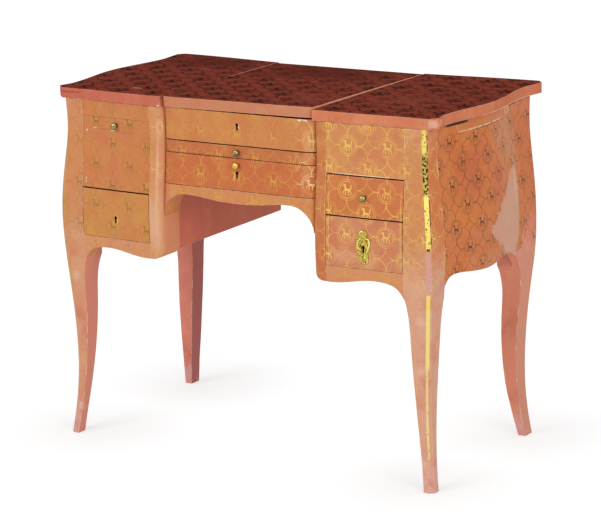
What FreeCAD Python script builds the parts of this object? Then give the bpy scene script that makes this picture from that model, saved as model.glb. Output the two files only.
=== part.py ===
import FreeCAD, Part
import math
import os
import re

from FreeCAD import Vector

# Poudreuse dressing table in lacquered wood, as an assembly of its separate pieces.
# X runs to the right of someone facing the front, Y to the back, Z up.
# The origin is on the floor under the middle of the whole table.

doc = FreeCAD.newDocument("poudreuse")
sheet = doc.addObject("Spreadsheet::Sheet", "Sizes")

# Driving dimensions in millimetres.
SIZES = {
    # the whole table
    "overall_height": 730.0,
    "case_half_width": 422.0,
    "case_depth": 425.0,
    "origin_from_front": 214.77,
    # swelling of the case, in height and in plan
    "bombe_depth": 12.8,
    "side_bulge": 17.0,
    "side_bulge_inset": 52.5,
    "pedestal_bow": 4.5,
    "centre_bow": 1.0,
    "valley_depth": 11.0,
    "stile_rounding": 16.0,
    "centre_rounding": 26.0,
    # timber
    "post_width": 46.0,
    "back_post_depth": 60.0,
    "corner_chamfer": 8.0,
    "side_thickness": 18.0,
    "front_thickness": 20.0,
    "kneehole_side_thickness": 15.4,
    "kneehole_side_recess": 0.6,
    "stile_width": 30.0,
    "stile_depth": 44.0,
    "back_thickness": 12.0,
    "bottom_thickness": 19.0,
    "dustboard_thickness": 8.0,
    "ceiling_thickness": 10.0,
    "well_floor_thickness": 6.0,
    "well_wall_thickness": 8.0,
    "board_end": 7.0,
    "top_rail_width": 24.0,
    "top_rail_thickness": 18.0,
    "guide_height": 30.0,
    "guide_width": 17.0,
    "bearer_width": 17.0,
    "cross_rail_thickness": 7.0,
    "cross_rail_depth": 22.0,
    "kneehole_half_width": 177.0,
    # levels, measured down from the top of the case
    "foot_knee_below": 329.4,
    "back_knee_below": 346.4,
    "back_wing_below": 304.4,
    "back_wing_length": 49.0,
    "side_arch_below": 311.4,
    "side_arch_rise": 18.0,
    "rail_arch_below": 330.4,
    "rail_arch_rise": 30.5,
    "rail_top_below": 278.4,
    "stile_foot_radius": 24.0,
    "apron_low_below": 178.9,
    "apron_rise": 8.0,
    "apron_top_below": 153.4,
    "arch_radius": 50.0,
    "arch_tip": 2.0,
    "lower_drawer_below": 180.0,
    "right_drawer_below": 100.8,
    "left_drawer_below": 32.4,
    "centre_drawer_below": 90.0,
    "slide_height": 23.0,
    "slide_top_below": 65.8,
    # gaps
    "drawer_gap": 1.0,
    "shadow_gap": 2.4,
    "left_front_gap": 0.4,
    "rail_gap": 0.6,
    "run_gap": 0.3,
    "flap_gap": 0.6,
    "seam_gap": 0.8,
    "glue_line": 0.1,
    # flaps
    "flap_thickness": 21.0,
    "flap_front_overhang": 6.5,
    "flap_side_overhang": 12.5,
    "flap_bulge": 19.0,
    "flap_bulge_inset": 47.5,
    "flap_ear": 20.0,
    "flap_ear_depth": 17.0,
    "flap_back_ear_depth": 12.0,
    "flap_back_overhang": 26.0,
    "centre_flap_overhang": 3.0,
    "centre_flap_corner_width": 22.0,
    "centre_flap_corner_depth": 9.0,
    "flap_warp": 3.5,
    # hinges, and the cleat that turns with each side flap
    "hinge_line": 6.0,
    "back_hinge_line": 3.0,
    "knuckle_radius": 2.4,
    "knuckle_clearance": 0.4,
    "knuckle_gap": 0.3,
    "hinge_pin_radius": 1.0,
    "pin_clearance": 0.05,
    "leaf_thickness": 1.2,
    "leaf_width": 17.0,
    "back_leaf_width": 11.0,
    "leaf_half_length": 15.0,
    "back_leaf_half_length": 25.0,
    "back_hinge_place": 110.0,
    "front_hinge_from_post": 36.0,
    "rear_hinge_from_post": 17.0,
    "cleat_radius": 27.4,
    "cleat_gap": 0.6,
    "cleat_inset": 4.0,
    "cleat_from_front_hinge": 22.5,
    "cleat_from_rear_hinge": 27.5,
    "cleat_flare": 14.0,
    # mirror
    "mirror_half_width": 165.0,
    "mirror_front_inset": 34.0,
    "mirror_back_inset": 25.0,
    "mirror_frame_width": 18.0,
    "mirror_frame_thickness": 6.0,
    "mirror_rebate": 6.0,
    "glass_thickness": 3.0,
    # drawers and slide
    "drawer_side": 8.0,
    "drawer_bottom": 6.0,
    "drawer_back_space": 21.0,
    "drawer_head_room": 4.6,
    "box_side_gap": 1.5,
    "slide_drop": 1.2,
    "slide_board_thickness": 18.0,
    # knobs
    "knob_radius": 6.9,
    "knob_half_height": 5.3,
    "knob_length": 13.0,
    "knob_flange_radius": 4.6,
    "knob_flange_thickness": 1.5,
    "knob_neck_radius": 2.6,
    "knob_stem_radius": 2.0,
    "knob_stem_length": 7.0,
    "knob_fit": 0.05,
    "knob_seat_depth": 0.7,
    "left_knob_drop": 15.0,
    "right_knob_drop": 38.6,
    "slide_knob_drop": 12.0,
    "centre_knob_drop": 12.9,
    # locks
    "lock_width": 36.0,
    "lock_height": 38.0,
    "tall_lock_height": 66.0,
    "lock_depth": 12.0,
    "lock_let_in": 6.0,
    "lock_head_room": 0.4,
    "lock_wall": 2.0,
    "bolt_width": 14.0,
    "bolt_thickness": 3.0,
    "bolt_height": 22.0,
    "tall_bolt_height": 48.0,
    "bolt_travel": 6.0,
    "bolt_clearance": 0.3,
    "mortise_clearance": 0.6,
    "mortise_spare": 1.6,
    "keyhole_radius": 3.2,
    "keyhole_slot": 3.8,
    "keyhole_drop": 11.0,
    "keyhole_sinking": 5.0,
    "flap_keyhole_drop": 23.0,
    "centre_keyhole_drop": 28.4,
    "lower_keyhole_drop": 54.6,
    # escutcheon
    "escutcheon_half_width": 15.5,
    "escutcheon_half_height": 33.0,
    "escutcheon_thickness": 2.2,
    "escutcheon_margin": 1.0,
    # how far cutters run past what they cut
    "overrun": 40.0,
}


class Size:
    """A length that remembers the sheet formula it comes from."""

    def __init__(self, value, formula):
        self.value = float(value)
        self.formula = formula

    @staticmethod
    def of(other):
        return other if isinstance(other, Size) else Size(other, repr(float(other)))

    def __add__(self, other):
        other = Size.of(other)
        return Size(self.value + other.value, f"({self.formula} + {other.formula})")

    def __sub__(self, other):
        other = Size.of(other)
        return Size(self.value - other.value, f"({self.formula} - {other.formula})")

    def __mul__(self, share):
        return Size(self.value * share, f"({self.formula} * ({float(share)!r}))")

    def __neg__(self):
        return self * -1.0

    def __float__(self):
        return self.value


for row, (name, value) in enumerate(SIZES.items(), start=1):
    sheet.set(f"A{row}", name)
    sheet.set(f"B{row}", repr(value))
    sheet.setAlias(f"B{row}", name)
doc.recompute()
sizes = {name: Size(sheet.get(name), f"Sizes.{name}") for name in SIZES}


def s(name):
    return sizes[name]


pieces = {}


def fresh(kind, label):
    made = doc.addObject(kind, re.sub(r"\W", "_", label))
    made.Label = label
    return made


def blank(shape, label):
    """A curved helper body whose edges come from the sheet sizes."""
    made = fresh("Part::Feature", label)
    made.Shape = shape
    return made


def box(x, y, z, label="block"):
    """A block between a low and a high size on each axis."""
    made = fresh("Part::Box", label)
    for (low, high), edge, axis in zip((x, y, z), ("Length", "Width", "Height"), "xyz"):
        made.setExpression(edge, (Size.of(high) - low).formula)
        made.setExpression(f"Placement.Base.{axis}", Size.of(low).formula)
    return made


def placed(made, place, direction):
    made.Placement.Rotation = FreeCAD.Rotation(Vector(0, 0, 1), direction)
    for part, axis in zip(place, "xyz"):
        made.setExpression(f"Placement.Base.{axis}", Size.of(part).formula)
    return made


def rod(radius, length, place, direction, label="rod"):
    """A round bar that starts at a place and runs along a direction."""
    made = fresh("Part::Cylinder", label)
    made.setExpression("Radius", radius.formula)
    made.setExpression("Height", length.formula)
    return placed(made, place, direction)


def common(base, tool, label="common"):
    made = fresh("Part::Common", label)
    made.Base, made.Tool = base, tool
    return made


def cut(base, *tools, label="cut"):
    for tool in tools:
        made = fresh("Part::Cut", label)
        made.Base, made.Tool = base, tool
        base = made
    return base


def fuse(*parts, label="fuse"):
    made = fresh("Part::MultiFuse", label)
    made.Shapes = list(parts)
    return made


def group(*parts, label="group"):
    made = fresh("Part::Compound", label)
    made.Links = list(parts)
    return made


def mirror(source, label="mirror"):
    made = fresh("Part::Mirroring", label)
    made.Source = source
    made.Normal = Vector(1, 0, 0)
    return made


def piece(made, node):
    made.Label = node
    pieces[node] = made
    return made


def both(right, name):
    """The right-hand piece and its mirror image on the left."""
    piece(right, f"right_{name}")
    piece(mirror(right), f"left_{name}")


# Planes that the pieces are measured from.
HALF = s("case_half_width")
FRONT = -s("origin_from_front")
BACK = FRONT + s("case_depth")
MIDDLE = FRONT + s("case_depth") * 0.5
OVER = s("overrun")
FLOOR = s("overall_height") * 0.0
FLAP_UNDER = s("overall_height") - s("flap_thickness")
CASE_TOP = FLAP_UNDER - s("flap_gap")
POST_IN = HALF - s("post_width")
FRONT_POST_IN = FRONT + s("post_width")
BACK_POST_IN = BACK - s("back_post_depth")
FLAT = FRONT + s("front_thickness")
STILE_BACK = FRONT + s("stile_depth")
PANEL_BACK = BACK - s("back_thickness")
KNEE = s("kneehole_half_width")
KNEE_FACE = KNEE + s("kneehole_side_recess")
KNEE_OUT = KNEE_FACE + s("kneehole_side_thickness")
STILE = KNEE + s("stile_width")
PEDESTAL = (STILE + POST_IN) * 0.5


def level(name):
    """A level that keeps its distance from the top of the case."""
    return CASE_TOP - s(name)


FOOT_KNEE = level("foot_knee_below")
BACK_KNEE = level("back_knee_below")
BACK_WING = level("back_wing_below")
SIDE_ARCH = level("side_arch_below")
RAIL_ARCH = level("rail_arch_below")
BOARD_TOP = level("rail_top_below")
APRON_LOW = level("apron_low_below")
APRON_TOP = level("apron_top_below")
LOWER_DRAWER_TOP = level("lower_drawer_below")
RIGHT_DRAWER_TOP = level("right_drawer_below")
LEFT_DRAWER_TOP = level("left_drawer_below")
CENTRE_DRAWER_TOP = level("centre_drawer_below")
SLIDE_TOP = level("slide_top_below")
CASE_BOTTOM = BOARD_TOP - s("bottom_thickness")
DUST_TOP = LOWER_DRAWER_TOP + s("shadow_gap")
DUST_UNDER = DUST_TOP - s("dustboard_thickness")
SLIDE_UNDER = SLIDE_TOP - s("slide_height")
CROSS_TOP = SLIDE_UNDER - s("rail_gap")
CROSS_UNDER = CROSS_TOP - s("cross_rail_thickness")
SLIDE_BOARD = SLIDE_UNDER + s("slide_drop")
SLIDE_BOARD_TOP = SLIDE_BOARD + s("slide_board_thickness")
RIGHT_FLOOR = RIGHT_DRAWER_TOP + s("shadow_gap")
LEFT_FLOOR = LEFT_DRAWER_TOP + s("left_front_gap")
CENTRE_FLOOR = SLIDE_BOARD_TOP + s("rail_gap")
HINGE_Z = FLAP_UNDER - s("flap_gap") * 0.5
HINGE_X = HALF + s("hinge_line")
HINGE_Y = BACK + s("back_hinge_line")
FRONT_HINGE = FRONT_POST_IN + s("front_hinge_from_post")
REAR_HINGE = BACK_POST_IN - s("rear_hinge_from_post")
CLEAT_START = FRONT_HINGE + s("leaf_half_length") + s("cleat_from_front_hinge")
CLEAT_END = REAR_HINGE - s("leaf_half_length") - s("cleat_from_rear_hinge")
SIDE_SPAN = s("case_depth") * 0.5 - s("side_bulge_inset")


def spline(points):
    curve = Part.BSplineCurve()
    curve.interpolate([Vector(*[float(part) for part in point]) for point in points])
    return curve


def edges(*points):
    """Straight edges through the points in turn."""
    ends = [Vector(*[float(part) for part in point]) for point in points]
    return [Part.LineSegment(start, end).toShape() for start, end in zip(ends, ends[1:])]


def prism(outline, direction):
    """A solid with the outline drawn in one plane and run out along a direction."""
    run = Vector(*[float(part) for part in direction])
    return Part.Face(Part.Wire(Part.__sortEdges__(outline))).extrude(run)


# The elevation of the case: height as a share of the case top, swelling as a share of its depth.
SWELL_SHARES = [
    (0.0, 1.03), (0.085, 0.41), (0.212, -0.015), (0.296, 0.01), (0.424, 0.35), (0.565, 0.86),
    (0.663, 1.0), (0.762, 0.71), (0.847, 0.21), (0.925, -0.10), (1.0, 0.015), (1.03, 0.05),
]
# The back legs draw in further at the sides, and come forward from the flat back.
BACK_SWELL_SHARES = [
    (0.0, 0.10), (0.085, -0.33), (0.212, -0.57), (0.296, -0.48), (0.38, -0.26), (0.47, 0.21),
    (0.565, 0.86), (0.663, 1.0), (0.762, 0.71), (0.847, 0.21), (0.925, -0.10), (1.0, 0.015),
    (1.03, 0.05),
]
BACK_INSET_SHARES = [
    (0.0, 0.19), (0.042, 0.55), (0.085, 0.86), (0.141, 1.12), (0.212, 1.17), (0.296, 0.98),
    (0.381, 0.55), (0.424, 0.30), (0.48, 0.08), (0.53, 0.0),
]
# Thickness of a leg as a share of the post width or depth, against the share of its knee's height.
LEG_SHARES = [
    (0.0, 0.47), (0.0841, 0.455), (0.1869, 0.48), (0.3364, 0.56), (0.486, 0.67), (0.6355, 0.79),
    (0.785, 0.90), (0.8972, 1.0),
]
BACK_LEG_WIDTH_SHARES = [
    (0.0, 0.36), (0.0822, 0.41), (0.1663, 0.463), (0.2759, 0.563), (0.4149, 0.654), (0.5792, 0.759),
    (0.7456, 0.84), (0.8297, 0.883),
]
BACK_LEG_DEPTH_SHARES = [
    (0.0, 0.475), (0.1663, 0.533), (0.4149, 0.643), (0.5792, 0.685), (0.7456, 0.70),
    (0.8297, 0.717), (0.9002, 0.785), (0.9589, 0.88),
]


def rise(shares, way):
    """The curve of the swelling over the height, with the swelling laid along a direction."""
    bombe, top = float(s("bombe_depth")), float(CASE_TOP)
    return spline([(way[0] * bombe * swell, way[1] * bombe * swell, top * share)
                   for share, swell in shares])


def reading(curve, axis, target, answer):
    """The answer coordinate of a curve where its coordinate on the axis reaches a target."""
    low, high = curve.FirstParameter, curve.LastParameter
    for _ in range(60):
        half = (low + high) * 0.5
        if curve.value(half)[axis] < float(target):
            low = half
        else:
            high = half
    return curve.value(low)[answer]


SIDE_RISE = rise(SWELL_SHARES, (1, 0))
FRONT_RISE = rise(SWELL_SHARES, (0, -1))
CORNER_RISE = rise(SWELL_SHARES, (1, -1))
BACK_SIDE_RISE = rise(BACK_SWELL_SHARES, (1, 0))
BACK_RISE = rise(BACK_INSET_SHARES, (0, -1))


def swelling(curve, height):
    """The swelling at a height, as a share of the bombe depth."""
    reach = abs(reading(curve, 2, height, 0)) + abs(reading(curve, 2, height, 1))
    sign = 1.0 if reading(curve, 2, height, 0) - reading(curve, 2, height, 1) >= 0 else -1.0
    return s("bombe_depth") * (sign * reach / float(s("bombe_depth")))


def carried(across, upward, direction, label):
    """A solid with a face made by carrying one curve along another, run out along a direction."""
    poles = [[start + lift for lift in upward.getPoles()] for start in across.getPoles()]
    surface = Part.BSplineSurface()
    surface.buildFromPolesMultsKnots(
        poles, across.getMultiplicities(), upward.getMultiplicities(),
        across.getKnots(), upward.getKnots(), False, False, across.Degree, upward.Degree)
    run = Vector(*[float(part) for part in direction])
    return blank(surface.toShape().extrude(run), label)


# The plan of the front: a rounded stile beside each valley, a slight bow, and straight posts.
QUARTER = [(1 - math.cos(math.radians(turn)), math.sin(math.radians(turn)))
           for turn in range(0, 91, 15)]
BOW_SHARES = [(0.317, 1.0), (0.46, 0.86), (0.618, 0.60), (0.844, 0.20), (1.0, 0.0)]


def pedestal_plan(forward=FLOOR):
    sink = s("valley_depth") + s("pedestal_bow")
    start = [(KNEE + s("stile_rounding") * along,
              FRONT - forward + s("valley_depth") - sink * out, 0) for along, out in QUARTER]
    bow = [(KNEE + (POST_IN - KNEE) * along, FRONT - forward - s("pedestal_bow") * out, 0)
           for along, out in BOW_SHARES]
    post = [(POST_IN + s("post_width") * along, FRONT - forward, 0) for along in (0.4, 1.0, 1.6)]
    return spline(start + bow + post)


def centre_plan():
    sink = s("valley_depth") + s("centre_bow")
    right = [(KNEE - s("centre_rounding") * along, FRONT + s("valley_depth") - sink * out)
             for along, out in QUARTER]
    flat = [(KNEE * share, FRONT - s("centre_bow")) for share in (0.7, 0.45, 0.2)]
    half = right + flat
    return spline([(-x, y, 0) for x, y in half] + [(FLOOR, FRONT - s("centre_bow"), 0)]
                  + [(x, y, 0) for x, y in reversed(half)])


def side_plan():
    ends = (1.1, 1.25, 1.45, 1.7)
    points = [(HALF, MIDDLE - SIDE_SPAN * share, 0) for share in reversed(ends)]
    for step in range(-8, 9):
        bulge = s("side_bulge") * (0.5 + 0.5 * math.cos(math.pi * step / 8))
        points.append((HALF + bulge, MIDDLE + SIDE_SPAN * (step / 8), 0))
    points += [(HALF, MIDDLE + SIDE_SPAN * share, 0) for share in ends]
    return spline(points)


PEDESTAL_PLAN, CENTRE_PLAN, SIDE_PLAN = pedestal_plan(), centre_plan(), side_plan()
deep = (FLOOR, s("case_depth"), FLOOR)
inward = (-s("side_thickness"), FLOOR, FLOOR)
pedestal = carried(PEDESTAL_PLAN, FRONT_RISE, deep, "pedestal_block")
centre = carried(CENTRE_PLAN, FRONT_RISE, deep, "centre_block")
side = carried(SIDE_PLAN, SIDE_RISE, inward, "side_slab")
wing_side = carried(SIDE_PLAN, BACK_SIDE_RISE, inward, "back_side_slab")


def face_at(plan, x, height):
    """How far back the front surface lies at a place on it."""
    out = float(FRONT) - reading(plan, 0, x, 1)
    return FRONT - s("bombe_depth") * (out / float(s("bombe_depth"))) - swelling(FRONT_RISE, height)


# Legs: the front view and the side view of each leg, run out and kept where they agree.
def leg_view(outer, inner, post_in, knee, place):
    top = outer[-1][1]
    return [spline([place(*point) for point in outer]).toShape(),
            *edges(place(*outer[-1]), place(post_in, top), place(post_in, knee)),
            spline([place(*point) for point in [(post_in, knee), *reversed(inner)]]).toShape(),
            *edges(place(*inner[0]), place(*outer[0]))]


def outer_points(start, way, shares):
    return [(start + s("bombe_depth") * (way * swell), CASE_TOP * share) for share, swell in shares]


def inner_points(start, way, curve, knee, shares, thickness):
    return [(start + swelling(curve, knee * share) * way - thickness * (way * thick), knee * share)
            for share, thick in shares]


def in_front(x, z):
    return (x, FRONT - OVER, z)


def from_side(y, z):
    return (POST_IN - OVER, y, z)


across_leg = (s("post_width") + OVER * 3, FLOOR, FLOOR)
along_leg = (FLOOR, s("case_depth") + OVER * 2, FLOOR)
stock_height = (FLOOR, CASE_TOP)

outer = outer_points(HALF, 1, SWELL_SHARES)
inner = inner_points(HALF, 1, SIDE_RISE, FOOT_KNEE, LEG_SHARES, s("post_width"))
front_view = blank(prism(leg_view(outer, inner, POST_IN, FOOT_KNEE, in_front), along_leg),
                   "front_leg_from_the_front")
outer = outer_points(FRONT, -1, SWELL_SHARES)
inner = inner_points(FRONT, -1, SIDE_RISE, FOOT_KNEE, LEG_SHARES, s("post_width"))
side_view = blank(prism(leg_view(outer, inner, FRONT_POST_IN, FOOT_KNEE, from_side), across_leg),
                  "front_leg_from_the_side")
chamfer_line = Part.BSplineCurve()
chamfer_line.buildFromPoles([
    Vector(float(HALF - s("corner_chamfer") - OVER), float(FRONT - OVER), 0),
    Vector(float(HALF + OVER), float(FRONT + s("corner_chamfer") + OVER), 0)], False, 1)
chamfer = carried(chamfer_line, CORNER_RISE, (OVER, -OVER, FLOOR), "corner_chamfer")
stock = box((POST_IN - OVER, HALF + OVER), (FRONT - OVER, BACK), stock_height)
leg = common(common(front_view, side_view), stock)
leg = piece(cut(leg, chamfer), "front_right_leg")
piece(mirror(leg), "front_left_leg")

outer = outer_points(HALF, 1, BACK_SWELL_SHARES)
inner = inner_points(HALF, 1, BACK_SIDE_RISE, BACK_KNEE, BACK_LEG_WIDTH_SHARES, s("post_width"))
back_view = blank(prism(leg_view(outer, inner, POST_IN, BACK_KNEE, in_front), along_leg),
                  "back_leg_from_the_front")
inset = outer_points(BACK, -1, BACK_INSET_SHARES)
inner = [(BACK - swelling(BACK_RISE, BACK_KNEE * share) - s("back_post_depth") * thick, BACK_KNEE * share)
         for share, thick in BACK_LEG_DEPTH_SHARES]
outline = [spline([from_side(*point) for point in inset]).toShape(),
           *edges(from_side(*inset[-1]), from_side(BACK, CASE_TOP), from_side(BACK_POST_IN, CASE_TOP),
                  from_side(BACK_POST_IN, BACK_KNEE)),
           spline([from_side(*p) for p in [(BACK_POST_IN, BACK_KNEE), *reversed(inner)]]).toShape(),
           *edges(from_side(*inner[0]), from_side(*inset[0]))]
back_side_view = blank(prism(outline, across_leg), "back_leg_from_the_side")
back_leg = common(back_view, back_side_view)

# The front edge of each back leg sweeps forward under the side panel.
WING_SHARES = [(0.0, 0.0), (0.16, 0.31), (0.57, 0.74), (1.0, 1.0)]
wing_low = BACK_KNEE
wing_rise = BACK_WING - wing_low
wing_curve = [from_side(BACK_POST_IN - s("back_wing_length") * along, wing_low + wing_rise * up)
              for along, up in WING_SHARES]
outline = [spline(wing_curve).toShape(),
           *edges(wing_curve[-1], from_side(BACK_POST_IN, BACK_WING), wing_curve[0])]
wing = common(wing_side, blank(prism(outline, across_leg), "back_wing"))
back_leg = piece(fuse(back_leg, wing), "back_right_leg")
piece(mirror(back_leg), "back_left_leg")

# Side panel, with its wavy lower edge and the opening that the cleat turns in.
SIDE_ARCH_SHARES = [
    (0.0, 0.0), (0.022, 0.39), (0.058, 0.78), (0.148, 1.0), (0.293, 0.78), (0.415, 0.56),
    (0.556, 0.48), (0.687, 0.70), (0.804, 0.97), (0.913, 0.88), (1.0, 0.39),
]
arch_end = BACK_POST_IN - s("back_wing_length")
arch_run = arch_end - FRONT_POST_IN
side_arch = [from_side(FRONT_POST_IN + arch_run * along, SIDE_ARCH + s("side_arch_rise") * up)
             for along, up in SIDE_ARCH_SHARES[:-1]] + [from_side(arch_end, BACK_WING)]
outline = [spline(side_arch).toShape(),
           *edges(side_arch[-1], from_side(BACK_POST_IN, BACK_WING),
                  from_side(BACK_POST_IN, CASE_TOP), from_side(FRONT_POST_IN, CASE_TOP), side_arch[0])]
side_panel = common(side, blank(prism(outline, across_leg), "side_panel_outline"))


def cleat_ends(gap):
    """The slanting ends of the cleat, seen from the side."""
    low, high = HINGE_Z - s("cleat_radius") - s("cleat_gap") * 2, FLAP_UNDER + gap * 2
    near, far, flare = CLEAT_START - gap, CLEAT_END + gap, s("cleat_flare")
    drop = flare * (float(gap + s("cleat_gap") * 2) / float(s("cleat_radius")))
    return prism(edges(from_side(near - flare - drop, high), from_side(far + flare + drop, high),
                       from_side(far - drop, low), from_side(near + drop, low),
                       from_side(near - flare - drop, high)), across_leg)


hinge_start = (HINGE_X, FRONT, HINGE_Z)
whole_depth = s("case_depth")
turning = rod(s("cleat_radius"), whole_depth, hinge_start, Vector(0, 1, 0))
opening = rod(s("cleat_radius") + s("cleat_gap"), whole_depth, hinge_start, Vector(0, 1, 0))
cleat = common(common(side, turning), blank(cleat_ends(FLOOR), "cleat_ends"))
cleat = common(cleat, box((HALF - s("cleat_inset"), HALF + OVER), (FRONT, BACK), (BOARD_TOP, FLAP_UNDER)))
cleat_hole = common(opening, blank(cleat_ends(s("cleat_gap")), "cleat_hole_ends"))


# Hinges. A hinge that is turned lies along X at the back, otherwise it lies along Y at the side.
def plate(across, along, up, turned):
    return box(along, across, up) if turned else box(across, along, up)


def bar(radius, across, along, turned):
    low, high = along
    place = (low, across, HINGE_Z) if turned else (across, low, HINGE_Z)
    return rod(radius, high - low, place, Vector(1, 0, 0) if turned else Vector(0, 1, 0))


def hinge(line, middle, half, width, turned):
    """The still half of a butt hinge, its turning half, and the cutters that let both in."""
    edge = line - s("knuckle_radius") - s("knuckle_clearance")
    far = edge - width
    whole = (middle - half, middle + half)
    inner = (middle - half * 0.34, middle + half * 0.34)
    first = (whole[0], inner[0] - s("knuckle_gap"))
    last = (inner[1] + s("knuckle_gap"), whole[1])
    low = (CASE_TOP - s("leaf_thickness"), CASE_TOP)
    high = (FLAP_UNDER, FLAP_UNDER + s("leaf_thickness"))
    still = fuse(plate((far, edge), whole, low, turned),
                 plate((edge, line), first, low, turned), plate((edge, line), last, low, turned),
                 bar(s("knuckle_radius"), line, first, turned),
                 bar(s("knuckle_radius"), line, last, turned),
                 bar(s("hinge_pin_radius"), line, whole, turned))
    moving = cut(fuse(plate((far, edge), whole, high, turned), plate((edge, line), inner, high, turned),
                      bar(s("knuckle_radius"), line, inner, turned)),
                 bar(s("hinge_pin_radius") + s("pin_clearance"), line, whole, turned))
    case_cut = plate((far, edge + OVER), whole, (low[0], low[1] + s("flap_gap")), turned)
    flap_cut = fuse(plate((far, line), whole, (high[0] - s("flap_gap"), high[1]), turned),
                    bar(s("knuckle_radius") + s("knuckle_clearance"), line, whole, turned))
    return still, moving, case_cut, flap_cut


front_hinge = hinge(HINGE_X, FRONT_HINGE, s("leaf_half_length"), s("leaf_width"), False)
rear_hinge = hinge(HINGE_X, REAR_HINGE, s("leaf_half_length"), s("leaf_width"), False)
centre_hinge = hinge(HINGE_Y, s("back_hinge_place"), s("back_leaf_half_length"), s("back_leaf_width"), True)

both(cut(side_panel, cleat_hole, front_hinge[2], rear_hinge[2]), "side_panel")
both(cleat, "flap_cleat")
still = group(front_hinge[0], rear_hinge[0], centre_hinge[0])
piece(group(still, mirror(still)), "case_hinge_leaves")
both(group(front_hinge[1], rear_hinge[1]), "flap_hinge_leaves")
piece(group(centre_hinge[1], mirror(centre_hinge[1])), "centre_flap_hinge_leaves")


# Front frame.
def front_points(points):
    return [(x, FRONT - OVER, z) for x, z in points]


RAIL_ARCH_SHARES = [
    (0.0, 0.656), (0.25, 0.738), (0.55, 0.993), (0.746, 0.967), (0.903, 0.675), (0.97, 0.262),
    (1.0, 0.0),
]
rail_run = POST_IN - STILE
rail_arch = front_points([(STILE + rail_run * along, RAIL_ARCH + s("rail_arch_rise") * up)
                          for along, up in RAIL_ARCH_SHARES])
outline = [spline(rail_arch).toShape(),
           *edges(rail_arch[-1], *front_points([(POST_IN, BOARD_TOP), (STILE, BOARD_TOP)]), rail_arch[0])]
rail_view = blank(prism(outline, along_leg), "bottom_rail_view")
in_front_of = (FRONT - OVER, FLAT)
rail_stock = box((STILE, POST_IN), in_front_of, (FLOOR, BOARD_TOP))
both(common(common(pedestal, rail_view), rail_stock), "bottom_rail")

foot = RAIL_ARCH + s("rail_arch_rise") * 0.656
radius = s("stile_foot_radius")
turn = math.sqrt(0.5)
stile_foot = front_points([(KNEE, foot + radius), (KNEE + radius * (1 - turn), foot + radius * (1 - turn)),
                           (KNEE + radius, foot)])
outline = [Part.Arc(*[Vector(*[float(part) for part in point]) for point in stile_foot]).toShape(),
           *edges(stile_foot[-1],
                  *front_points([(STILE + OVER, foot), (STILE + OVER, CASE_TOP + OVER),
                                 (KNEE - OVER, CASE_TOP + OVER), (KNEE - OVER, foot + radius)]),
                  stile_foot[0])]
stile_view = blank(prism(outline, along_leg), "stile_view")
stile = common(common(pedestal, stile_view),
               box((KNEE - OVER, STILE), (FRONT - OVER, STILE_BACK), (FLOOR, CASE_TOP)))
both(stile, "front_stile")

arch = s("arch_radius")
low = APRON_LOW
high = low + s("apron_rise")
spring = KNEE - s("arch_tip") - arch
WAVE_SHARES = [(0.48, 0.375), (0.84, 1.0), (1.0, 1.0)]
wave = [(spring * share, low + s("apron_rise") * up) for share, up in WAVE_SHARES]
wave = [(-x, z) for x, z in reversed(wave)] + [(FLOOR, low)] + wave


def arch_edges(way):
    points = [(spring * way, high), ((spring + arch * turn) * way, high - arch * (1 - turn)),
              ((spring + arch) * way, high - arch)]
    ends = [Vector(*[float(part) for part in point]) for point in front_points(points)]
    return Part.Arc(*ends).toShape()


tip = high - arch
outline = [spline(front_points(wave)).toShape(), arch_edges(1), arch_edges(-1),
           *edges(*front_points([(KNEE - s("arch_tip"), tip), (KNEE, tip), (KNEE, APRON_TOP),
                                 (-KNEE, APRON_TOP), (-KNEE, tip), (s("arch_tip") - KNEE, tip)]))]
apron_view = blank(prism(outline, along_leg), "apron_view")
apron_depth = box((-KNEE, KNEE), (FRONT - OVER, STILE_BACK), (FLOOR, APRON_TOP))
piece(common(common(centre, apron_view), apron_depth), "centre_apron")


# Case boards. Each runs between the stile, the posts and the back.
def board(low, high, out_to, label="board"):
    parts = [box((STILE, POST_IN - s("drawer_gap")), (FLAT, STILE_BACK), (low, high)),
             box((KNEE_OUT, POST_IN - s("drawer_gap")), (STILE_BACK, PANEL_BACK), (low, high))]
    if out_to is not None:
        parts.append(box((POST_IN - s("drawer_gap"), out_to), (FRONT_POST_IN, BACK_POST_IN), (low, high)))
    return fuse(*parts, label=label)


both(box((KNEE_FACE, KNEE_OUT), (STILE_BACK, PANEL_BACK), (CASE_BOTTOM, CASE_TOP)), "kneehole_side")
bottom = board(CASE_BOTTOM, BOARD_TOP, HALF - s("board_end"))
piece(group(bottom, mirror(bottom)), "bottom_boards")
CEILING_UNDER = APRON_TOP - s("ceiling_thickness")
piece(box((-KNEE_FACE, KNEE_FACE), (STILE_BACK, PANEL_BACK), (CEILING_UNDER, APRON_TOP)),
      "kneehole_ceiling")
side_back = box((KNEE_FACE + s("run_gap"), POST_IN), (PANEL_BACK, BACK), (CASE_BOTTOM, CASE_TOP))
middle_back = box((-KNEE_FACE, KNEE_FACE), (PANEL_BACK, BACK), (CEILING_UNDER, CASE_TOP))
middle_back = cut(middle_back, centre_hinge[2], mirror(centre_hinge[2]))
piece(group(side_back, mirror(side_back), middle_back), "back_panels")

guide_in = (KNEE_OUT, STILE)
guide_out = (POST_IN - s("drawer_gap") * 2, POST_IN - s("drawer_gap") * 2 + s("guide_width"))
guides = []
for level in (BOARD_TOP, DUST_TOP):
    guides.append(box(guide_in, (STILE_BACK, PANEL_BACK), (level, level + s("guide_height"))))
    guides.append(box(guide_out, (FRONT_POST_IN, BACK_POST_IN), (level, level + s("guide_height"))))
guides = group(*guides)
bearer = box((KNEE_FACE - s("bearer_width"), KNEE_FACE), (STILE_BACK, PANEL_BACK),
             (CROSS_UNDER, SLIDE_BOARD - s("run_gap")))
cross_front = FLAT + s("lock_head_room")


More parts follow.
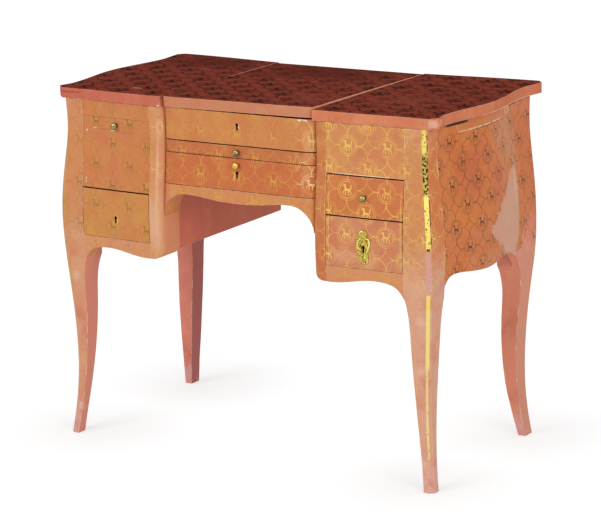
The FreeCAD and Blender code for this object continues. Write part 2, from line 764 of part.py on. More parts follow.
def bolt_box(x, top, height, gap, spare):
    """The space of a bolt, with a gap around it and something spare over it."""
    half = s("bolt_width") * 0.5 + gap
    near = FLAT + s("lock_wall") - gap
    return box((x - half, x + half), (near, near + s("bolt_thickness") + gap * 2),
               (top - height, top + spare))


def mortise(x, under):
    return bolt_box(x, under, s("flap_gap") * 2, s("mortise_clearance"),
                    s("bolt_travel") + s("mortise_spare") * 2)


cross_rail = box((-KNEE, KNEE), (cross_front, cross_front + s("cross_rail_depth")),
                 (CROSS_UNDER, CROSS_TOP))
cross_rail = cut(cross_rail, mortise(FLOOR, CROSS_UNDER))
piece(group(guides, mirror(guides), bearer, mirror(bearer), cross_rail), "runners")

dust = cut(board(DUST_UNDER, DUST_TOP, guide_out[1]),
           box((FLOOR, HALF), (FLAT - OVER, cross_front), (DUST_UNDER - OVER, DUST_TOP + OVER)),
           mortise(PEDESTAL, DUST_UNDER))
piece(group(dust, mirror(dust)), "dustboards")


def tray(low):
    floor = board(low, low + s("well_floor_thickness"), None)
    end = POST_IN - s("drawer_gap")
    return fuse(floor, box((end - s("well_wall_thickness"), end), (FLAT, PANEL_BACK), (low, CASE_TOP)))


piece(tray(RIGHT_FLOOR), "right_well_tray")
piece(mirror(tray(LEFT_FLOOR)), "left_well_tray")
piece(fuse(box((-KNEE, KNEE), (FLAT, STILE_BACK), (CENTRE_FLOOR, CENTRE_FLOOR + s("well_floor_thickness"))),
           box((-KNEE_FACE, KNEE_FACE), (STILE_BACK, PANEL_BACK),
               (CENTRE_FLOOR, CENTRE_FLOOR + s("well_floor_thickness")))), "centre_well_floor")
top_rail = box((POST_IN - s("drawer_gap"), POST_IN - s("drawer_gap") + s("top_rail_width")),
               (FRONT_POST_IN, BACK_POST_IN), (CASE_TOP - s("top_rail_thickness"), CASE_TOP))
piece(group(top_rail, mirror(top_rail)), "top_rails")


# Locks: a case let into the back of the front, with its bolt free to rise.
def lock(x, under, height, bolt_height):
    top = under - s("lock_head_room")
    half = s("lock_width") * 0.5
    near = FLAT - s("lock_let_in")
    case = (x - half, x + half), (near, near + s("lock_depth")), (top - height, top)
    body = cut(box(*case), bolt_box(x, top, bolt_height + s("bolt_clearance"), s("bolt_clearance"), OVER))
    bolt = bolt_box(x, top, bolt_height, FLOOR, FLOOR)
    roomy = s("run_gap")
    pocket = box(*case)
    clearing = box((x - half - roomy, x + half + roomy), (FLAT - roomy, near + s("lock_depth") + roomy),
                   (top - height - roomy, top + OVER))
    return body, bolt, pocket, clearing


def keyhole(x, height, widen=FLOOR):
    """A round hole over a slot, sunk through the front into the lock."""
    reach = FLAT - s("lock_let_in") + s("keyhole_sinking")
    near = FRONT - OVER
    half = s("keyhole_slot") * 0.5 + widen
    ring = rod(s("keyhole_radius") + widen, reach - near, (x, near, height), Vector(0, 1, 0))
    slot = box((x - half, x + half), (near, reach), (height - s("keyhole_drop") - widen, height))
    return fuse(ring, slot)


flap_lock = lock(FLOOR, CASE_TOP, s("lock_height"), s("bolt_height"))
centre_lock = lock(FLOOR, CROSS_UNDER, s("lock_height"), s("bolt_height"))
side_lock = lock(PEDESTAL, DUST_UNDER, s("tall_lock_height"), s("tall_bolt_height"))
flap_key = keyhole(FLOOR, CASE_TOP - s("flap_keyhole_drop"))
centre_key = keyhole(FLOOR, CENTRE_DRAWER_TOP - s("centre_keyhole_drop"))
side_key_height = LOWER_DRAWER_TOP - s("lower_keyhole_drop")
side_key = keyhole(PEDESTAL, side_key_height)
piece(cut(flap_lock[0], flap_key), "flap_lock")
piece(flap_lock[1], "flap_bolt")
piece(cut(centre_lock[0], centre_key), "centre_drawer_lock")
piece(centre_lock[1], "centre_drawer_bolt")
both(cut(side_lock[0], side_key), "drawer_lock")
both(side_lock[1], "drawer_bolt")


# Turned knobs.
def knob(plan, x, height):
    """A knob, and the cutter for its seat and stem hole."""
    outward = Vector(0, -1, 0)
    seat = face_at(plan, x, height) + s("knob_seat_depth")
    ball = fresh("Part::Ellipsoid", "ball")
    ball.setExpression("Radius1", s("knob_half_height").formula)
    ball.setExpression("Radius2", s("knob_radius").formula)
    ball.setExpression("Radius3", s("knob_radius").formula)
    placed(ball, (x, seat - s("knob_length") + s("knob_half_height"), height), outward)
    flange = rod(s("knob_flange_radius"), s("knob_flange_thickness"), (x, seat, height), outward)
    neck = rod(s("knob_neck_radius"), s("knob_length") * 0.5, (x, seat, height), outward)
    stem = rod(s("knob_stem_radius"), s("knob_stem_length"), (x, seat, height), -outward)
    hole = rod(s("knob_stem_radius") + s("knob_fit"), s("knob_stem_length") + s("run_gap"),
               (x, seat, height), -outward)
    spot = rod(s("knob_flange_radius") + s("run_gap"), OVER, (x, seat, height), outward)
    return fuse(ball, flange, neck, stem), fuse(hole, spot)


centre_knob = knob(CENTRE_PLAN, FLOOR, CENTRE_DRAWER_TOP - s("centre_knob_drop"))
slide_knob = knob(CENTRE_PLAN, FLOOR, SLIDE_TOP - s("slide_knob_drop"))
right_knob = knob(PEDESTAL_PLAN, PEDESTAL, RIGHT_DRAWER_TOP - s("right_knob_drop"))
left_knob = knob(PEDESTAL_PLAN, PEDESTAL, LEFT_DRAWER_TOP - s("left_knob_drop"))
piece(centre_knob[0], "centre_drawer_knob")
piece(slide_knob[0], "slide_knob")
piece(right_knob[0], "right_upper_knob")
piece(mirror(left_knob[0]), "left_upper_knob")


# Fronts: slices of the swelling blocks with a flat back.
def front_slice(block, x, z, *cutters):
    return cut(common(block, box(x, in_front_of, z)), *cutters)


drawer_x = (STILE + s("drawer_gap"), POST_IN - s("drawer_gap"))
centre_x = (s("drawer_gap") - KNEE, KNEE - s("drawer_gap"))
lower_z = (BOARD_TOP + s("rail_gap"), LOWER_DRAWER_TOP)
upper_low = DUST_TOP + s("run_gap")
both(front_slice(pedestal, drawer_x, lower_z, side_lock[2], side_key), "lower_drawer_front")
piece(front_slice(pedestal, drawer_x, (upper_low, RIGHT_DRAWER_TOP), right_knob[1]),
      "right_upper_drawer_front")
snug_x = (STILE + s("left_front_gap"), POST_IN - s("left_front_gap"))
piece(mirror(front_slice(pedestal, snug_x, (upper_low, LEFT_DRAWER_TOP), left_knob[1])),
      "left_upper_drawer_front")
piece(front_slice(pedestal, (STILE, POST_IN), (RIGHT_FLOOR, CASE_TOP)), "right_upper_front")
piece(mirror(front_slice(pedestal, (STILE, POST_IN), (LEFT_FLOOR, CASE_TOP))), "left_upper_front")
piece(front_slice(centre, (-KNEE, KNEE), (SLIDE_TOP + s("shadow_gap"), CASE_TOP), flap_lock[2], flap_key),
      "centre_upper_front")
piece(front_slice(centre, centre_x, (APRON_TOP + s("drawer_gap"), CENTRE_DRAWER_TOP),
                  centre_lock[2], centre_key, centre_knob[1]), "centre_drawer_front")

# Drawer boxes and the brushing slide.
box_back = PANEL_BACK - s("drawer_back_space")


def drawer_box(x, low, high, *cutters):
    wall = s("drawer_side")
    hollow = box((x[0] + wall, x[1] - wall), (FLAT + wall, box_back - wall),
                 (low + s("drawer_bottom"), high + OVER))
    return cut(box(x, (FLAT, box_back), (low, high)), hollow, *cutters)


box_x = (STILE + s("drawer_gap"), POST_IN - s("drawer_gap") * 3)
centre_box_x = (s("box_side_gap") - KNEE, KNEE - s("box_side_gap"))
both(drawer_box(box_x, BOARD_TOP + s("run_gap"), DUST_UNDER - s("rail_gap"), side_lock[3]),
     "lower_drawer_box")
piece(drawer_box(box_x, upper_low, RIGHT_DRAWER_TOP - s("drawer_head_room")), "right_upper_drawer_box")
piece(mirror(drawer_box(box_x, upper_low, LEFT_DRAWER_TOP - s("drawer_head_room"))),
      "left_upper_drawer_box")
piece(drawer_box(centre_box_x, APRON_TOP + s("run_gap"), CROSS_UNDER - s("rail_gap"), centre_lock[3]),
      "centre_drawer_box")
strip = front_slice(centre, centre_x, (SLIDE_UNDER, SLIDE_TOP))
board_part = box(centre_box_x, (FLAT, box_back), (SLIDE_BOARD, SLIDE_BOARD_TOP))
piece(cut(fuse(strip, board_part), slide_knob[1]), "brushing_slide")

# Pierced escutcheon, cut from a skin that follows the drawer front.
ESCUTCHEON_SHARES = [
    (0.10, 1.0), (0.46, 0.90), (0.60, 0.78), (0.40, 0.68), (0.58, 0.575), (0.88, 0.53), (0.98, 0.39),
    (0.78, 0.29), (0.60, 0.20), (0.80, 0.06), (0.95, -0.09), (0.87, -0.24), (0.60, -0.32),
    (0.72, -0.45), (0.76, -0.61), (0.50, -0.73), (0.28, -0.79), (0.22, -0.91), (-0.06, -1.0),
    (-0.30, -0.90), (-0.33, -0.77), (-0.58, -0.71), (-0.80, -0.59), (-0.70, -0.47), (-0.55, -0.36),
    (-0.80, -0.27), (-0.98, -0.14), (-0.90, 0.03), (-0.64, 0.12), (-0.61, 0.24), (-0.84, 0.35),
    (-0.92, 0.50), (-0.70, 0.62), (-0.42, 0.64), (-0.48, 0.77), (-0.32, 0.88), (-0.10, 0.93),
]
PIERCING_SHARES = [
    (0.55, 0.40, 0.20, 0.075), (-0.52, 0.42, 0.19, 0.085), (0.58, -0.13, 0.16, 0.08),
    (-0.60, -0.15, 0.17, 0.075), (0.05, 0.66, 0.13, 0.12), (0.30, -0.55, 0.17, 0.08),
    (-0.40, -0.57, 0.17, 0.06),
]


def closed_curve(points):
    curve = Part.BSplineCurve()
    curve.interpolate([Vector(*[float(part) for part in point]) for point in points], PeriodicFlag=True)
    return curve.toShape()


def on_escutcheon(across, up):
    return (PEDESTAL + s("escutcheon_half_width") * across, FRONT - OVER,
            side_key_height + s("escutcheon_half_height") * up)


def piercing(x, z, wide, tall):
    turns = [math.radians(45 * step) for step in range(8)]
    return [on_escutcheon(x + wide * math.cos(angle), z + tall * math.sin(angle)) for angle in turns]


skin = carried(pedestal_plan(s("glue_line")), FRONT_RISE,
               (FLOOR, -s("escutcheon_thickness"), FLOOR), "escutcheon_skin")
plate_view = blank(prism([closed_curve([on_escutcheon(*point) for point in ESCUTCHEON_SHARES])], deep),
                   "escutcheon_outline")
piercings = [blank(prism([closed_curve(piercing(*hole))], deep), "piercing") for hole in PIERCING_SHARES]
piece(cut(common(skin, plate_view), *piercings, keyhole(PEDESTAL, side_key_height, s("escutcheon_margin"))),
      "escutcheon")

# Flaps. The side flaps follow the case in plan, with an ear at each outer corner.
FLAP_FRONT_SHARES = [(0.257, 0.97), (0.502, 0.68), (0.706, 0.25), (0.89, 0.09), (1.0, 0.31)]
FLAP_BACK_SHARES = [(0.257, 0.50), (0.502, 0.73), (0.706, 0.885), (0.91, 0.98), (1.03, 1.0)]
seam = KNEE + s("seam_gap") * 0.5


def flap_points(start, depth, way, shares):
    return [(seam + (HALF - KNEE) * along, start + depth * (way * out), FLAP_UNDER)
            for along, out in shares]


flap_front = flap_points(FRONT, s("flap_front_overhang"), -1, [(0.0, 1.0), *FLAP_FRONT_SHARES])
flap_back = flap_points(BACK, s("flap_back_overhang"), 1, [(0.0, 0.31), *FLAP_BACK_SHARES])
ear = HALF + s("flap_ear")
waist = HALF + s("flap_side_overhang")
reach = s("case_depth") * 0.5 - s("flap_bulge_inset")
flap_side = []
for step in range(-8, 9):
    bulge = s("flap_bulge") * (0.5 + 0.5 * math.cos(math.pi * step / 8))
    flap_side.append((waist + bulge, MIDDLE + reach * (step / 8), FLAP_UNDER))
outline = [spline(flap_front).toShape(),
           *edges(flap_front[-1], (ear, FRONT + s("flap_ear_depth"), FLAP_UNDER), flap_side[0]),
           spline(flap_side).toShape(),
           *edges(flap_side[-1], (ear, BACK + s("flap_back_ear_depth"), FLAP_UNDER), flap_back[-1]),
           spline(list(reversed(flap_back))).toShape(),
           *edges(flap_back[0], flap_front[0])]
upright = (FLOOR, FLOOR, s("flap_thickness"))


side_flap = blank(prism(outline, upright), "side_flap_blank")
both(cut(side_flap, front_hinge[3], rear_hinge[3]), "flap")

# The centre flap has warped with age: its front right corner stands proud.
centre_half = KNEE - s("seam_gap") * 0.5
fore = FRONT - s("centre_flap_overhang")


def warped(low, thickness, label):
    """A slab of a thickness that lifts evenly towards the front right corner."""
    run = float(BACK - fore)
    spread = float(centre_half) * 2
    corners = []
    for x in (-centre_half - OVER, centre_half + OVER):
        row = []
        for y in (fore - OVER, BACK):
            lift = (float(x) + float(centre_half)) / spread * (float(BACK) - float(y)) / run
            row.append(Vector(float(x), float(y), float(low + s("flap_warp") * lift)))
        corners.append(row)
    surface = Part.BSplineSurface()
    surface.buildFromPolesMultsKnots(corners, [2, 2], [2, 2], [0.0, 1.0], [0.0, 1.0], False, False, 1, 1)
    return blank(surface.toShape().extrude(Vector(0, 0, float(thickness))), label)


def rounded_corner(way):
    return [((centre_half - s("centre_flap_corner_width") * along) * way,
             fore + s("centre_flap_corner_depth") * (1 - out), FLAP_UNDER - OVER) for along, out in QUARTER]


right_corner, left_corner = rounded_corner(1), rounded_corner(-1)
outline = [spline(right_corner).toShape(), spline(left_corner).toShape(),
           *edges(right_corner[-1], left_corner[-1]),
           *edges(left_corner[0], (-centre_half, BACK, FLAP_UNDER - OVER),
                  (centre_half, BACK, FLAP_UNDER - OVER), right_corner[0])]
tall = (FLOOR, FLOOR, OVER * 3)
centre_flap = common(warped(FLAP_UNDER, s("flap_thickness"), "warped_flap"),
                     blank(prism(outline, tall), "centre_flap_outline"))
piece(cut(centre_flap, centre_hinge[3], mirror(centre_hinge[3]), mortise(FLOOR, CASE_TOP)), "centre_flap")

# Mirror under the centre flap.
frame_top = FLAP_UNDER - s("glue_line")
frame_low = frame_top - s("mirror_frame_thickness")


def ring(inset):
    half = s("mirror_half_width") - inset
    near = FRONT + s("mirror_front_inset") + inset
    far = BACK - s("mirror_back_inset") - inset
    return box((-half, half), (near, far), (CENTRE_FLOOR, FLAP_UNDER + s("flap_thickness")))


lip = s("mirror_frame_width")
rebate = lip - s("mirror_rebate")
rebate_depth = s("glass_thickness") + s("glue_line") * 2
frame = common(warped(frame_low, s("mirror_frame_thickness"), "frame_slab"), ring(FLOOR))
frame = cut(frame, ring(lip), common(warped(frame_top - rebate_depth, OVER, "rebate_slab"), ring(rebate)))
piece(frame, "mirror_frame")
piece(common(warped(frame_top - s("glass_thickness") - s("glue_line"), s("glass_thickness"), "glass_slab"),
             ring(rebate + s("run_gap"))), "mirror_glass")

doc.recompute()
for made in doc.Objects:
    if "Invalid" in made.State or "Error" in made.State:
        raise RuntimeError(f"{made.Label} did not compute: {made.State}")
for node, made in pieces.items():
    if made.Shape.isNull() or not made.Shape.isValid():
        raise RuntimeError(f"{node} has no valid shape")
    if not made.Shape.Solids:
        raise RuntimeError(f"{node} has no solid")

os.makedirs("parts", exist_ok=True)
whole = FreeCAD.BoundBox()
for node, made in pieces.items():
    made.Shape.exportStep(f"parts/{node}.step")
    whole.add(made.Shape.BoundBox)
    reach = made.Shape.BoundBox
    print(f"{node}: {len(made.Shape.Solids)} solid(s), x {reach.XMin:.1f} to {reach.XMax:.1f}, "
          f"y {reach.YMin:.1f} to {reach.YMax:.1f}, z {reach.ZMin:.1f} to {reach.ZMax:.1f}")
print(f"{len(pieces)} pieces, x {whole.XMin:.2f} to {whole.XMax:.2f}, "
      f"y {whole.YMin:.2f} to {whole.YMax:.2f}, z {whole.ZMin:.2f} to {whole.ZMax:.2f}")
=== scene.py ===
# %% [markdown]
# A poudreuse is a small dressing table on four curved legs. Its top is three flaps: the middle one
# lifts to show a mirror, and each side one turns over its side of the case. This file gives
# the finished construction its looks. The pieces come from the imported model and stay where they
# are, so the first step only loads them.

# %% Load the construction
import math
from functools import reduce

import bpy
from mathutils import Matrix, Vector
from mathutils.bvhtree import BVHTree


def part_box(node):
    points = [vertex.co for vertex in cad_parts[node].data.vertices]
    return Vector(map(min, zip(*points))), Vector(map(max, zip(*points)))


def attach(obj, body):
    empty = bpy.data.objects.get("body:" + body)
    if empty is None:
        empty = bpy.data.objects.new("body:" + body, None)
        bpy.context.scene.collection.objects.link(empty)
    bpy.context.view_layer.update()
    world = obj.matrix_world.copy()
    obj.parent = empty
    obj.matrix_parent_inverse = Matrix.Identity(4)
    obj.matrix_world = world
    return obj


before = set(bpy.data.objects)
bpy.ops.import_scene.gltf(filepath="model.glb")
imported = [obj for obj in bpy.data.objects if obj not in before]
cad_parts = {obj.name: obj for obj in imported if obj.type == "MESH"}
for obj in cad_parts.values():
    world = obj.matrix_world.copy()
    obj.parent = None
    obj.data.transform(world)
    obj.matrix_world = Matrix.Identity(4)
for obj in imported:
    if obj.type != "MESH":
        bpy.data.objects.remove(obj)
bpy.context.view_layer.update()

MM = 0.001

# %% [markdown]
# The camera stands where the photographer stood: to the right of the table, a little above it, and
# far away, so the lines hardly converge. Its place and its three turns were worked out from the
# corners of the table. The long lens follows from its focal length in pixels of a 601 pixel frame.

# %% Camera
CAMERA_PLACE = Vector((2.765, -4.34077, 1.629))
AZIMUTH, ELEVATION, ROLL = (math.radians(turn) for turn in (32.482, 13.917, -1.568))
SENSOR, FRAME_WIDTH, FOCAL_PIXELS = 36.0, 601, 2589.0
SEES_AS_FAR = 60.0

backward = Vector((math.sin(AZIMUTH) * math.cos(ELEVATION),
                   -math.cos(AZIMUTH) * math.cos(ELEVATION), math.sin(ELEVATION)))
level_right = Vector((math.cos(AZIMUTH), math.sin(AZIMUTH), 0.0))
level_up = backward.cross(level_right)
right = math.cos(ROLL) * level_right + math.sin(ROLL) * level_up
upward = math.cos(ROLL) * level_up - math.sin(ROLL) * level_right

camera = bpy.data.objects.new("camera", bpy.data.cameras.new("camera"))
camera.data.sensor_width = SENSOR
camera.data.lens = SENSOR * FOCAL_PIXELS / FRAME_WIDTH
camera.data.clip_end = SEES_AS_FAR
camera.matrix_world = (Matrix.Translation(CAMERA_PLACE)
                       @ Matrix((right, upward, backward)).transposed().to_4x4())
bpy.context.scene.collection.objects.link(camera)
bpy.context.scene.camera = camera
print("lens", round(camera.data.lens, 1), "mm")

# %% [markdown]
# Colours are written as sRGB hex codes, the way a colour picker shows them, and a node wants
# linear light, so one function turns them over. Another small function adds a node, sets it and
# links what feeds it. The others only shorten the nodes that every finish below asks for.

# %% Helpers for finishes
RANGE, GROUP = "ShaderNodeMapRange", "ShaderNodeGroup"


def paint(code):
    """The linear colour of an sRGB hex code."""
    shares = [int(code[place:place + 2], 16) / 255 for place in (0, 2, 4)]
    return (*[share / 12.92 if share <= 0.04045 else ((share + 0.055) / 1.055) ** 2.4
              for share in shares], 1.0)


def node(tree, kind, *feeds, named=None, **settings):
    """Adds a node. Feeds go to its sockets in turn: a node or socket is linked, a value is set,
    and None leaves a socket alone. Named feeds go to the sockets that they name."""
    made = tree.nodes.new(kind)
    for word, value in settings.items():
        setattr(made, word, value)
    sockets = [socket for socket in made.inputs if socket.enabled]
    pairs = list(zip(sockets, feeds))
    pairs += [(made.inputs[word], feed) for word, feed in (named or {}).items()]
    for socket, feed in pairs:
        if isinstance(feed, bpy.types.Node):
            feed = next(output for output in feed.outputs if output.enabled)
        if isinstance(feed, bpy.types.NodeSocket):
            tree.links.new(feed, socket)
        elif feed is not None:
            socket.default_value = feed
    return made


def maths(tree, work, *feeds, **more):
    return node(tree, "ShaderNodeMath", *feeds, operation=work, **more)


def vectors(tree, work, *feeds, **more):
    return node(tree, "ShaderNodeVectorMath", *feeds, operation=work, **more)


def dot(tree, one, other):
    return vectors(tree, "DOT_PRODUCT", one, other).outputs["Value"]


def length(tree, vector):
    return vectors(tree, "LENGTH", vector).outputs["Value"]


def scaled(tree, vector, size):
    return vectors(tree, "SCALE", vector, named={"Scale": size})


def noise(tree, place, scale, detail, **more):
    """Noise of a scale, with octaves of detail and, if named, roughness or distortion."""
    return node(tree, "ShaderNodeTexNoise", place, named={"Scale": scale, "Detail": detail, **more})


def mixed(tree, share, one, other, kind="RGBA"):
    """A share of the second over the first, each a feed or an sRGB code."""
    one, other = (paint(part) if isinstance(part, str) else part for part in (one, other))
    return node(tree, "ShaderNodeMix", share, one, other, data_type=kind)


def group(name, inputs, outputs):
    """An empty node group with named sockets, and the sockets that feed what is put in it."""
    tree = bpy.data.node_groups.new(name, "ShaderNodeTree")
    for way, words in (("INPUT", inputs), ("OUTPUT", outputs)):
        for word, kind in words.items():
            tree.interface.new_socket(word, in_out=way, socket_type="NodeSocket" + kind)
    return tree, node(tree, "NodeGroupInput").outputs


print("coral lacquer in linear light", [round(part, 3) for part in paint("c9774a")])

# %% [markdown]
# The decoration is a stencilled diaper, one lattice over the whole front: rings with a little
# walking animal in each, and between them curved diamonds made by circles that just touch. Drawing
# it as maths keeps it sharp at any distance. A stroke is everything near a short line, so the
# first group measures the distance to one.

# %% A stroke of the stencil
stroke, given = group("stroke", {"Place": "Vector", "Start": "Vector", "End": "Vector"},
                      {"Distance": "Float"})
span = vectors(stroke, "SUBTRACT", given["End"], given["Start"])
reach = vectors(stroke, "SUBTRACT", given["Place"], given["Start"])
along = maths(stroke, "DIVIDE", dot(stroke, reach, span), dot(stroke, span, span), use_clamp=True)
off = vectors(stroke, "SUBTRACT", reach, scaled(stroke, span, along))
node(stroke, "NodeGroupOutput", length(stroke, off))
print("a stroke has", len(stroke.nodes), "nodes")

# %% [markdown]
# Rub and chance make every mask soft, so a few helpers are enough for the drawing: one rises from
# 0 to 1 between two values, one tells how far apart two measures are, one keeps the strongest of
# several masks, and one multiplies them.

# %% Masks


def beyond(tree, value, low, high, *ends):
    """0 below the low value, 1 above the high one, and smooth between. Ends replace the 0 and 1."""
    return node(tree, RANGE, value, low, high, *ends, interpolation_type="SMOOTHSTEP")


def apart(tree, one, other):
    """How far apart two measures are."""
    return maths(tree, "ABSOLUTE", maths(tree, "SUBTRACT", one, other))


def either(tree, *masks):
    """The strongest of several masks."""
    return reduce(lambda one, other: maths(tree, "MAXIMUM", one, other), masks)


def times(tree, *masks):
    """Several masks multiplied."""
    return reduce(lambda one, other: maths(tree, "MULTIPLY", one, other), masks)


print("masks are multiplied, or the stronger one wins")

# %% [markdown]
# The lattice is counted in cells: across the front, along the sides, or over the top, whichever
# the surface faces. A ring sits on each corner and in each middle of a cell, and the nearer of the
# two is the one to draw in.

# %% The lattice
PITCH, SIDE_PITCH, MEAN_PITCH = (85.1, 84.8), (82.0, 83.4), 85.0
FRONT_START, SIDE_START, TOP_START = (-1.0, 666.3), (-125.8, 667.5), (0.0, 20.0)
FACING_LIMIT, TOP_BOLDER = 0.72, 1.2
CORNER, HALF_CELL, QUARTER_CELL = (0.0, 0.0, 0.0), (0.5, 0.5, 0.0), (0.25, 0.25, 0.0)

diaper, given = group("medallion_diaper", {"Place": "Vector", "Facing": "Vector"},
                      {"Lines": "Float", "Figures": "Float"})
place, facing = (node(diaper, "ShaderNodeSeparateXYZ", given[word]).outputs for word in ("Place", "Facing"))


def cells(axes, start, pitch):
    """Two coordinates counted in cells of the lattice."""
    parts = [maths(diaper, "MULTIPLY", maths(diaper, "ADD", place[axis], -begin), 1 / step)
             for axis, begin, step in zip(axes, start, pitch)]
    return node(diaper, "ShaderNodeCombineXYZ", *parts)


def wrapped(start, half):
    """The way from the nearest of the points that lie two halves apart, counted from a start."""
    moved = vectors(diaper, "SUBTRACT", here, start)
    return vectors(diaper, "WRAP", moved, (half, half, half), (-half, -half, -half))


sideways, flat = (maths(diaper, "GREATER_THAN", maths(diaper, "ABSOLUTE", facing[axis]), FACING_LIMIT)
                  for axis in "XZ")
here = mixed(diaper, sideways, cells("XZ", FRONT_START, PITCH), cells("YZ", SIDE_START, SIDE_PITCH),
             "VECTOR")
here = mixed(diaper, flat, here, cells("XY", TOP_START, PITCH), "VECTOR")
bolder = maths(diaper, "MULTIPLY", flat, TOP_BOLDER)
from_corner, from_middle = (wrapped(start, 0.5) for start in (CORNER, HALF_CELL))
in_middle = maths(diaper, "LESS_THAN", length(diaper, from_middle), length(diaper, from_corner))
in_ring = scaled(diaper, mixed(diaper, in_middle, from_corner, from_middle, "VECTOR"), MEAN_PITCH)
radius = length(diaper, in_ring)
print("a ring every", PITCH[0], "mm across and", PITCH[1], "mm up, and one between")

# %% [markdown]
# Each medallion is two thin rings with four short stems. The large arcs between the medallions
# come from circles a quarter of a cell apart. On the top the stencil was inked more heavily.

# %% Rings, arcs and stems
RING, OUTER_RING, OUTER_SHARE, STEM_END = 16.2, 20.2, 0.7, 22.5
LINE, SOFT = 0.56, 0.5


def drawn(distance, width, strength=1.0):
    """Ink where a distance is under a width, with a soft edge. On the flat top it is bolder."""
    nearer = maths(diaper, "SUBTRACT", distance, bolder)
    return beyond(diaper, nearer, width + SOFT, width - SOFT, 0.0, strength)


rings = [drawn(apart(diaper, radius, size), LINE, strength)
         for size, strength in ((RING, 1.0), (OUTER_RING, OUTER_SHARE))]
from_circle = apart(diaper, length(diaper, wrapped(QUARTER_CELL, 0.25)), 0.25)
arcs = times(diaper, drawn(maths(diaper, "MULTIPLY", from_circle, MEAN_PITCH), LINE),
             beyond(diaper, radius, OUTER_RING, OUTER_RING + 1))
part = node(diaper, "ShaderNodeSeparateXYZ", in_ring).outputs
nearest_axis = maths(diaper, "MINIMUM", *[maths(diaper, "ABSOLUTE", part[axis]) for axis in "XY"])
stems = times(diaper, drawn(nearest_axis, LINE), beyond(diaper, radius, RING - 1, RING + 1),
              beyond(diaper, radius, STEM_END + 1, STEM_END - 1))
print("lines are", 2 * LINE, "mm wide")

# %% [markdown]
# The animal is a plain quadruped with its head up and its tail curled over its back, a few strokes
# in millimetres from the middle of its ring: a start, an end and half the width.

# %% The animal
ANIMAL = [
    ((-5.4, 9.0), (-4.4, 0.8), 1.6), ((-9.2, 7.6), (-5.6, 9.8), 1.1), ((-4.4, 0.2), (4.8, -0.4), 2.0),
    ((-5.6, -1.2), (-9.0, -4.6), 0.8), ((-9.0, -4.6), (-8.0, -8.8), 0.7),
    ((-3.6, -1.6), (-4.0, -10.4), 0.9),
    ((3.4, -2.0), (1.8, -6.0), 0.9), ((1.8, -6.0), (2.8, -10.4), 0.7),
    ((5.4, -1.6), (8.4, -5.6), 1.0), ((8.4, -5.6), (7.6, -10.4), 0.7),
    ((5.8, 0.8), (8.8, 3.4), 0.8), ((8.8, 3.4), (6.2, 6.4), 0.8), ((6.2, 6.4), (9.2, 9.6), 0.8),
]
figures = [drawn(node(diaper, GROUP, in_ring, (*start, 0.0), (*end, 0.0), node_tree=stroke), width)
           for start, end, width in ANIMAL]
node(diaper, "NodeGroupOutput", either(diaper, *rings, arcs, stems), either(diaper, *figures))
print("the diaper has", len(diaper.nodes), "nodes")

# %% [markdown]
# Age shows in patches: rubbed places, stains, chips and bare spots. A patch is a soft box with
# rounded corners and a ragged edge, so one group draws them all: far is 1 at the rim of the box,
# and noise moves the rim in and out.

# %% A patch
patch, given = group("soft_patch", {"Place": "Vector", "Middle": "Vector", "Reach": "Vector",
                                    "Edge": "Float", "Ragged": "Float", "Grain": "Float"},
                     {"Mask": "Float"})
share = vectors(patch, "DIVIDE", vectors(patch, "SUBTRACT", given["Place"], given["Middle"]),
                given["Reach"])
square = vectors(patch, "MULTIPLY", share, share)
fourth = vectors(patch, "MULTIPLY", square, square)
far = maths(patch, "POWER", dot(patch, fourth, (1.0, 1.0, 1.0)), 0.25)
grain = noise(patch, given["Place"], given["Grain"], 4.0)
ragged = maths(patch, "MULTIPLY", maths(patch, "SUBTRACT", grain, 0.5), given["Ragged"])
inside = maths(patch, "SUBTRACT", 1.0, given["Edge"])
node(patch, "NodeGroupOutput", beyond(patch, maths(patch, "ADD", far, ragged), 1.0, inside))
print("a patch has", len(patch.nodes), "nodes")

# %% [markdown]
# An arris is found by asking how far the surface would turn if its edges were rounded over, which
# the Bevel node answers. Handling has knocked small chips out there. The pale colour laid along an
# arris is partly lacquer rubbed thin and partly a painted highlight, the light a rounded edge catches.

# %% Worn arrises
ARRIS_RADIUS, UNTURNED, TURNED = 2.2 * MM, 0.995, 0.90
FLAKE, LARGEST_FLAKES = 0.045, 0.80

arris, given = group("worn_arris", {"Place": "Vector", "Wear": "Float"}, {"Edge": "Float", "Chips": "Float"})
rounded = node(arris, "ShaderNodeBevel", ARRIS_RADIUS, samples=6)
turned = dot(arris, rounded, node(arris, "ShaderNodeNewGeometry").outputs["Normal"])
edge = beyond(arris, turned, UNTURNED, TURNED)
flakes = noise(arris, given["Place"], FLAKE, 6.0, Roughness=0.65)
limit = maths(arris, "SUBTRACT", LARGEST_FLAKES, given["Wear"])
node(arris, "NodeGroupOutput", edge, times(arris, maths(arris, "GREATER_THAN", flakes, limit), edge))
print("arrises are looked for within", ARRIS_RADIUS / MM, "mm")

# %% [markdown]
# The finish itself is oil lacquer brushed in coats over gesso and wood: a warm coral red
# that has yellowed unevenly. The first step mixes two tones of the ground in clouds a hand wide,
# drawn out upwards as a brush leaves them. Redder and paler blotches lie over them, where coats
# wore through or the light faded them, and a fine speckle breaks the colour up.

# %% Ground of the lacquer
CLOUD, STREAK, SPECKLE, BLOTCH = 1 / 95.0, 1 / 28.0, 1 / 2.2, 1 / 46.0
DRAWN_UP, TONES_MEET, SPECKLED = (1.0, 1.0, 0.16), (0.75, 1.25), (0.3, 0.7, 0.90, 1.08)
BLUSH, BLUSH_SHARE, REDDER, FADED = "c4654a", 0.5, (0.52, 0.72), (0.46, 0.30)
PALER = (0.16, 0.14, 0.06)


def tone_of_fading(code):
    """A ground a little paler and yellower, as light leaves it."""
    shares = [int(code[place:place + 2], 16) for place in (0, 2, 4)]
    return "".join(f"{min(255, round(share + (255 - share) * gain)):02x}"
                   for share, gain in zip(shares, PALER))


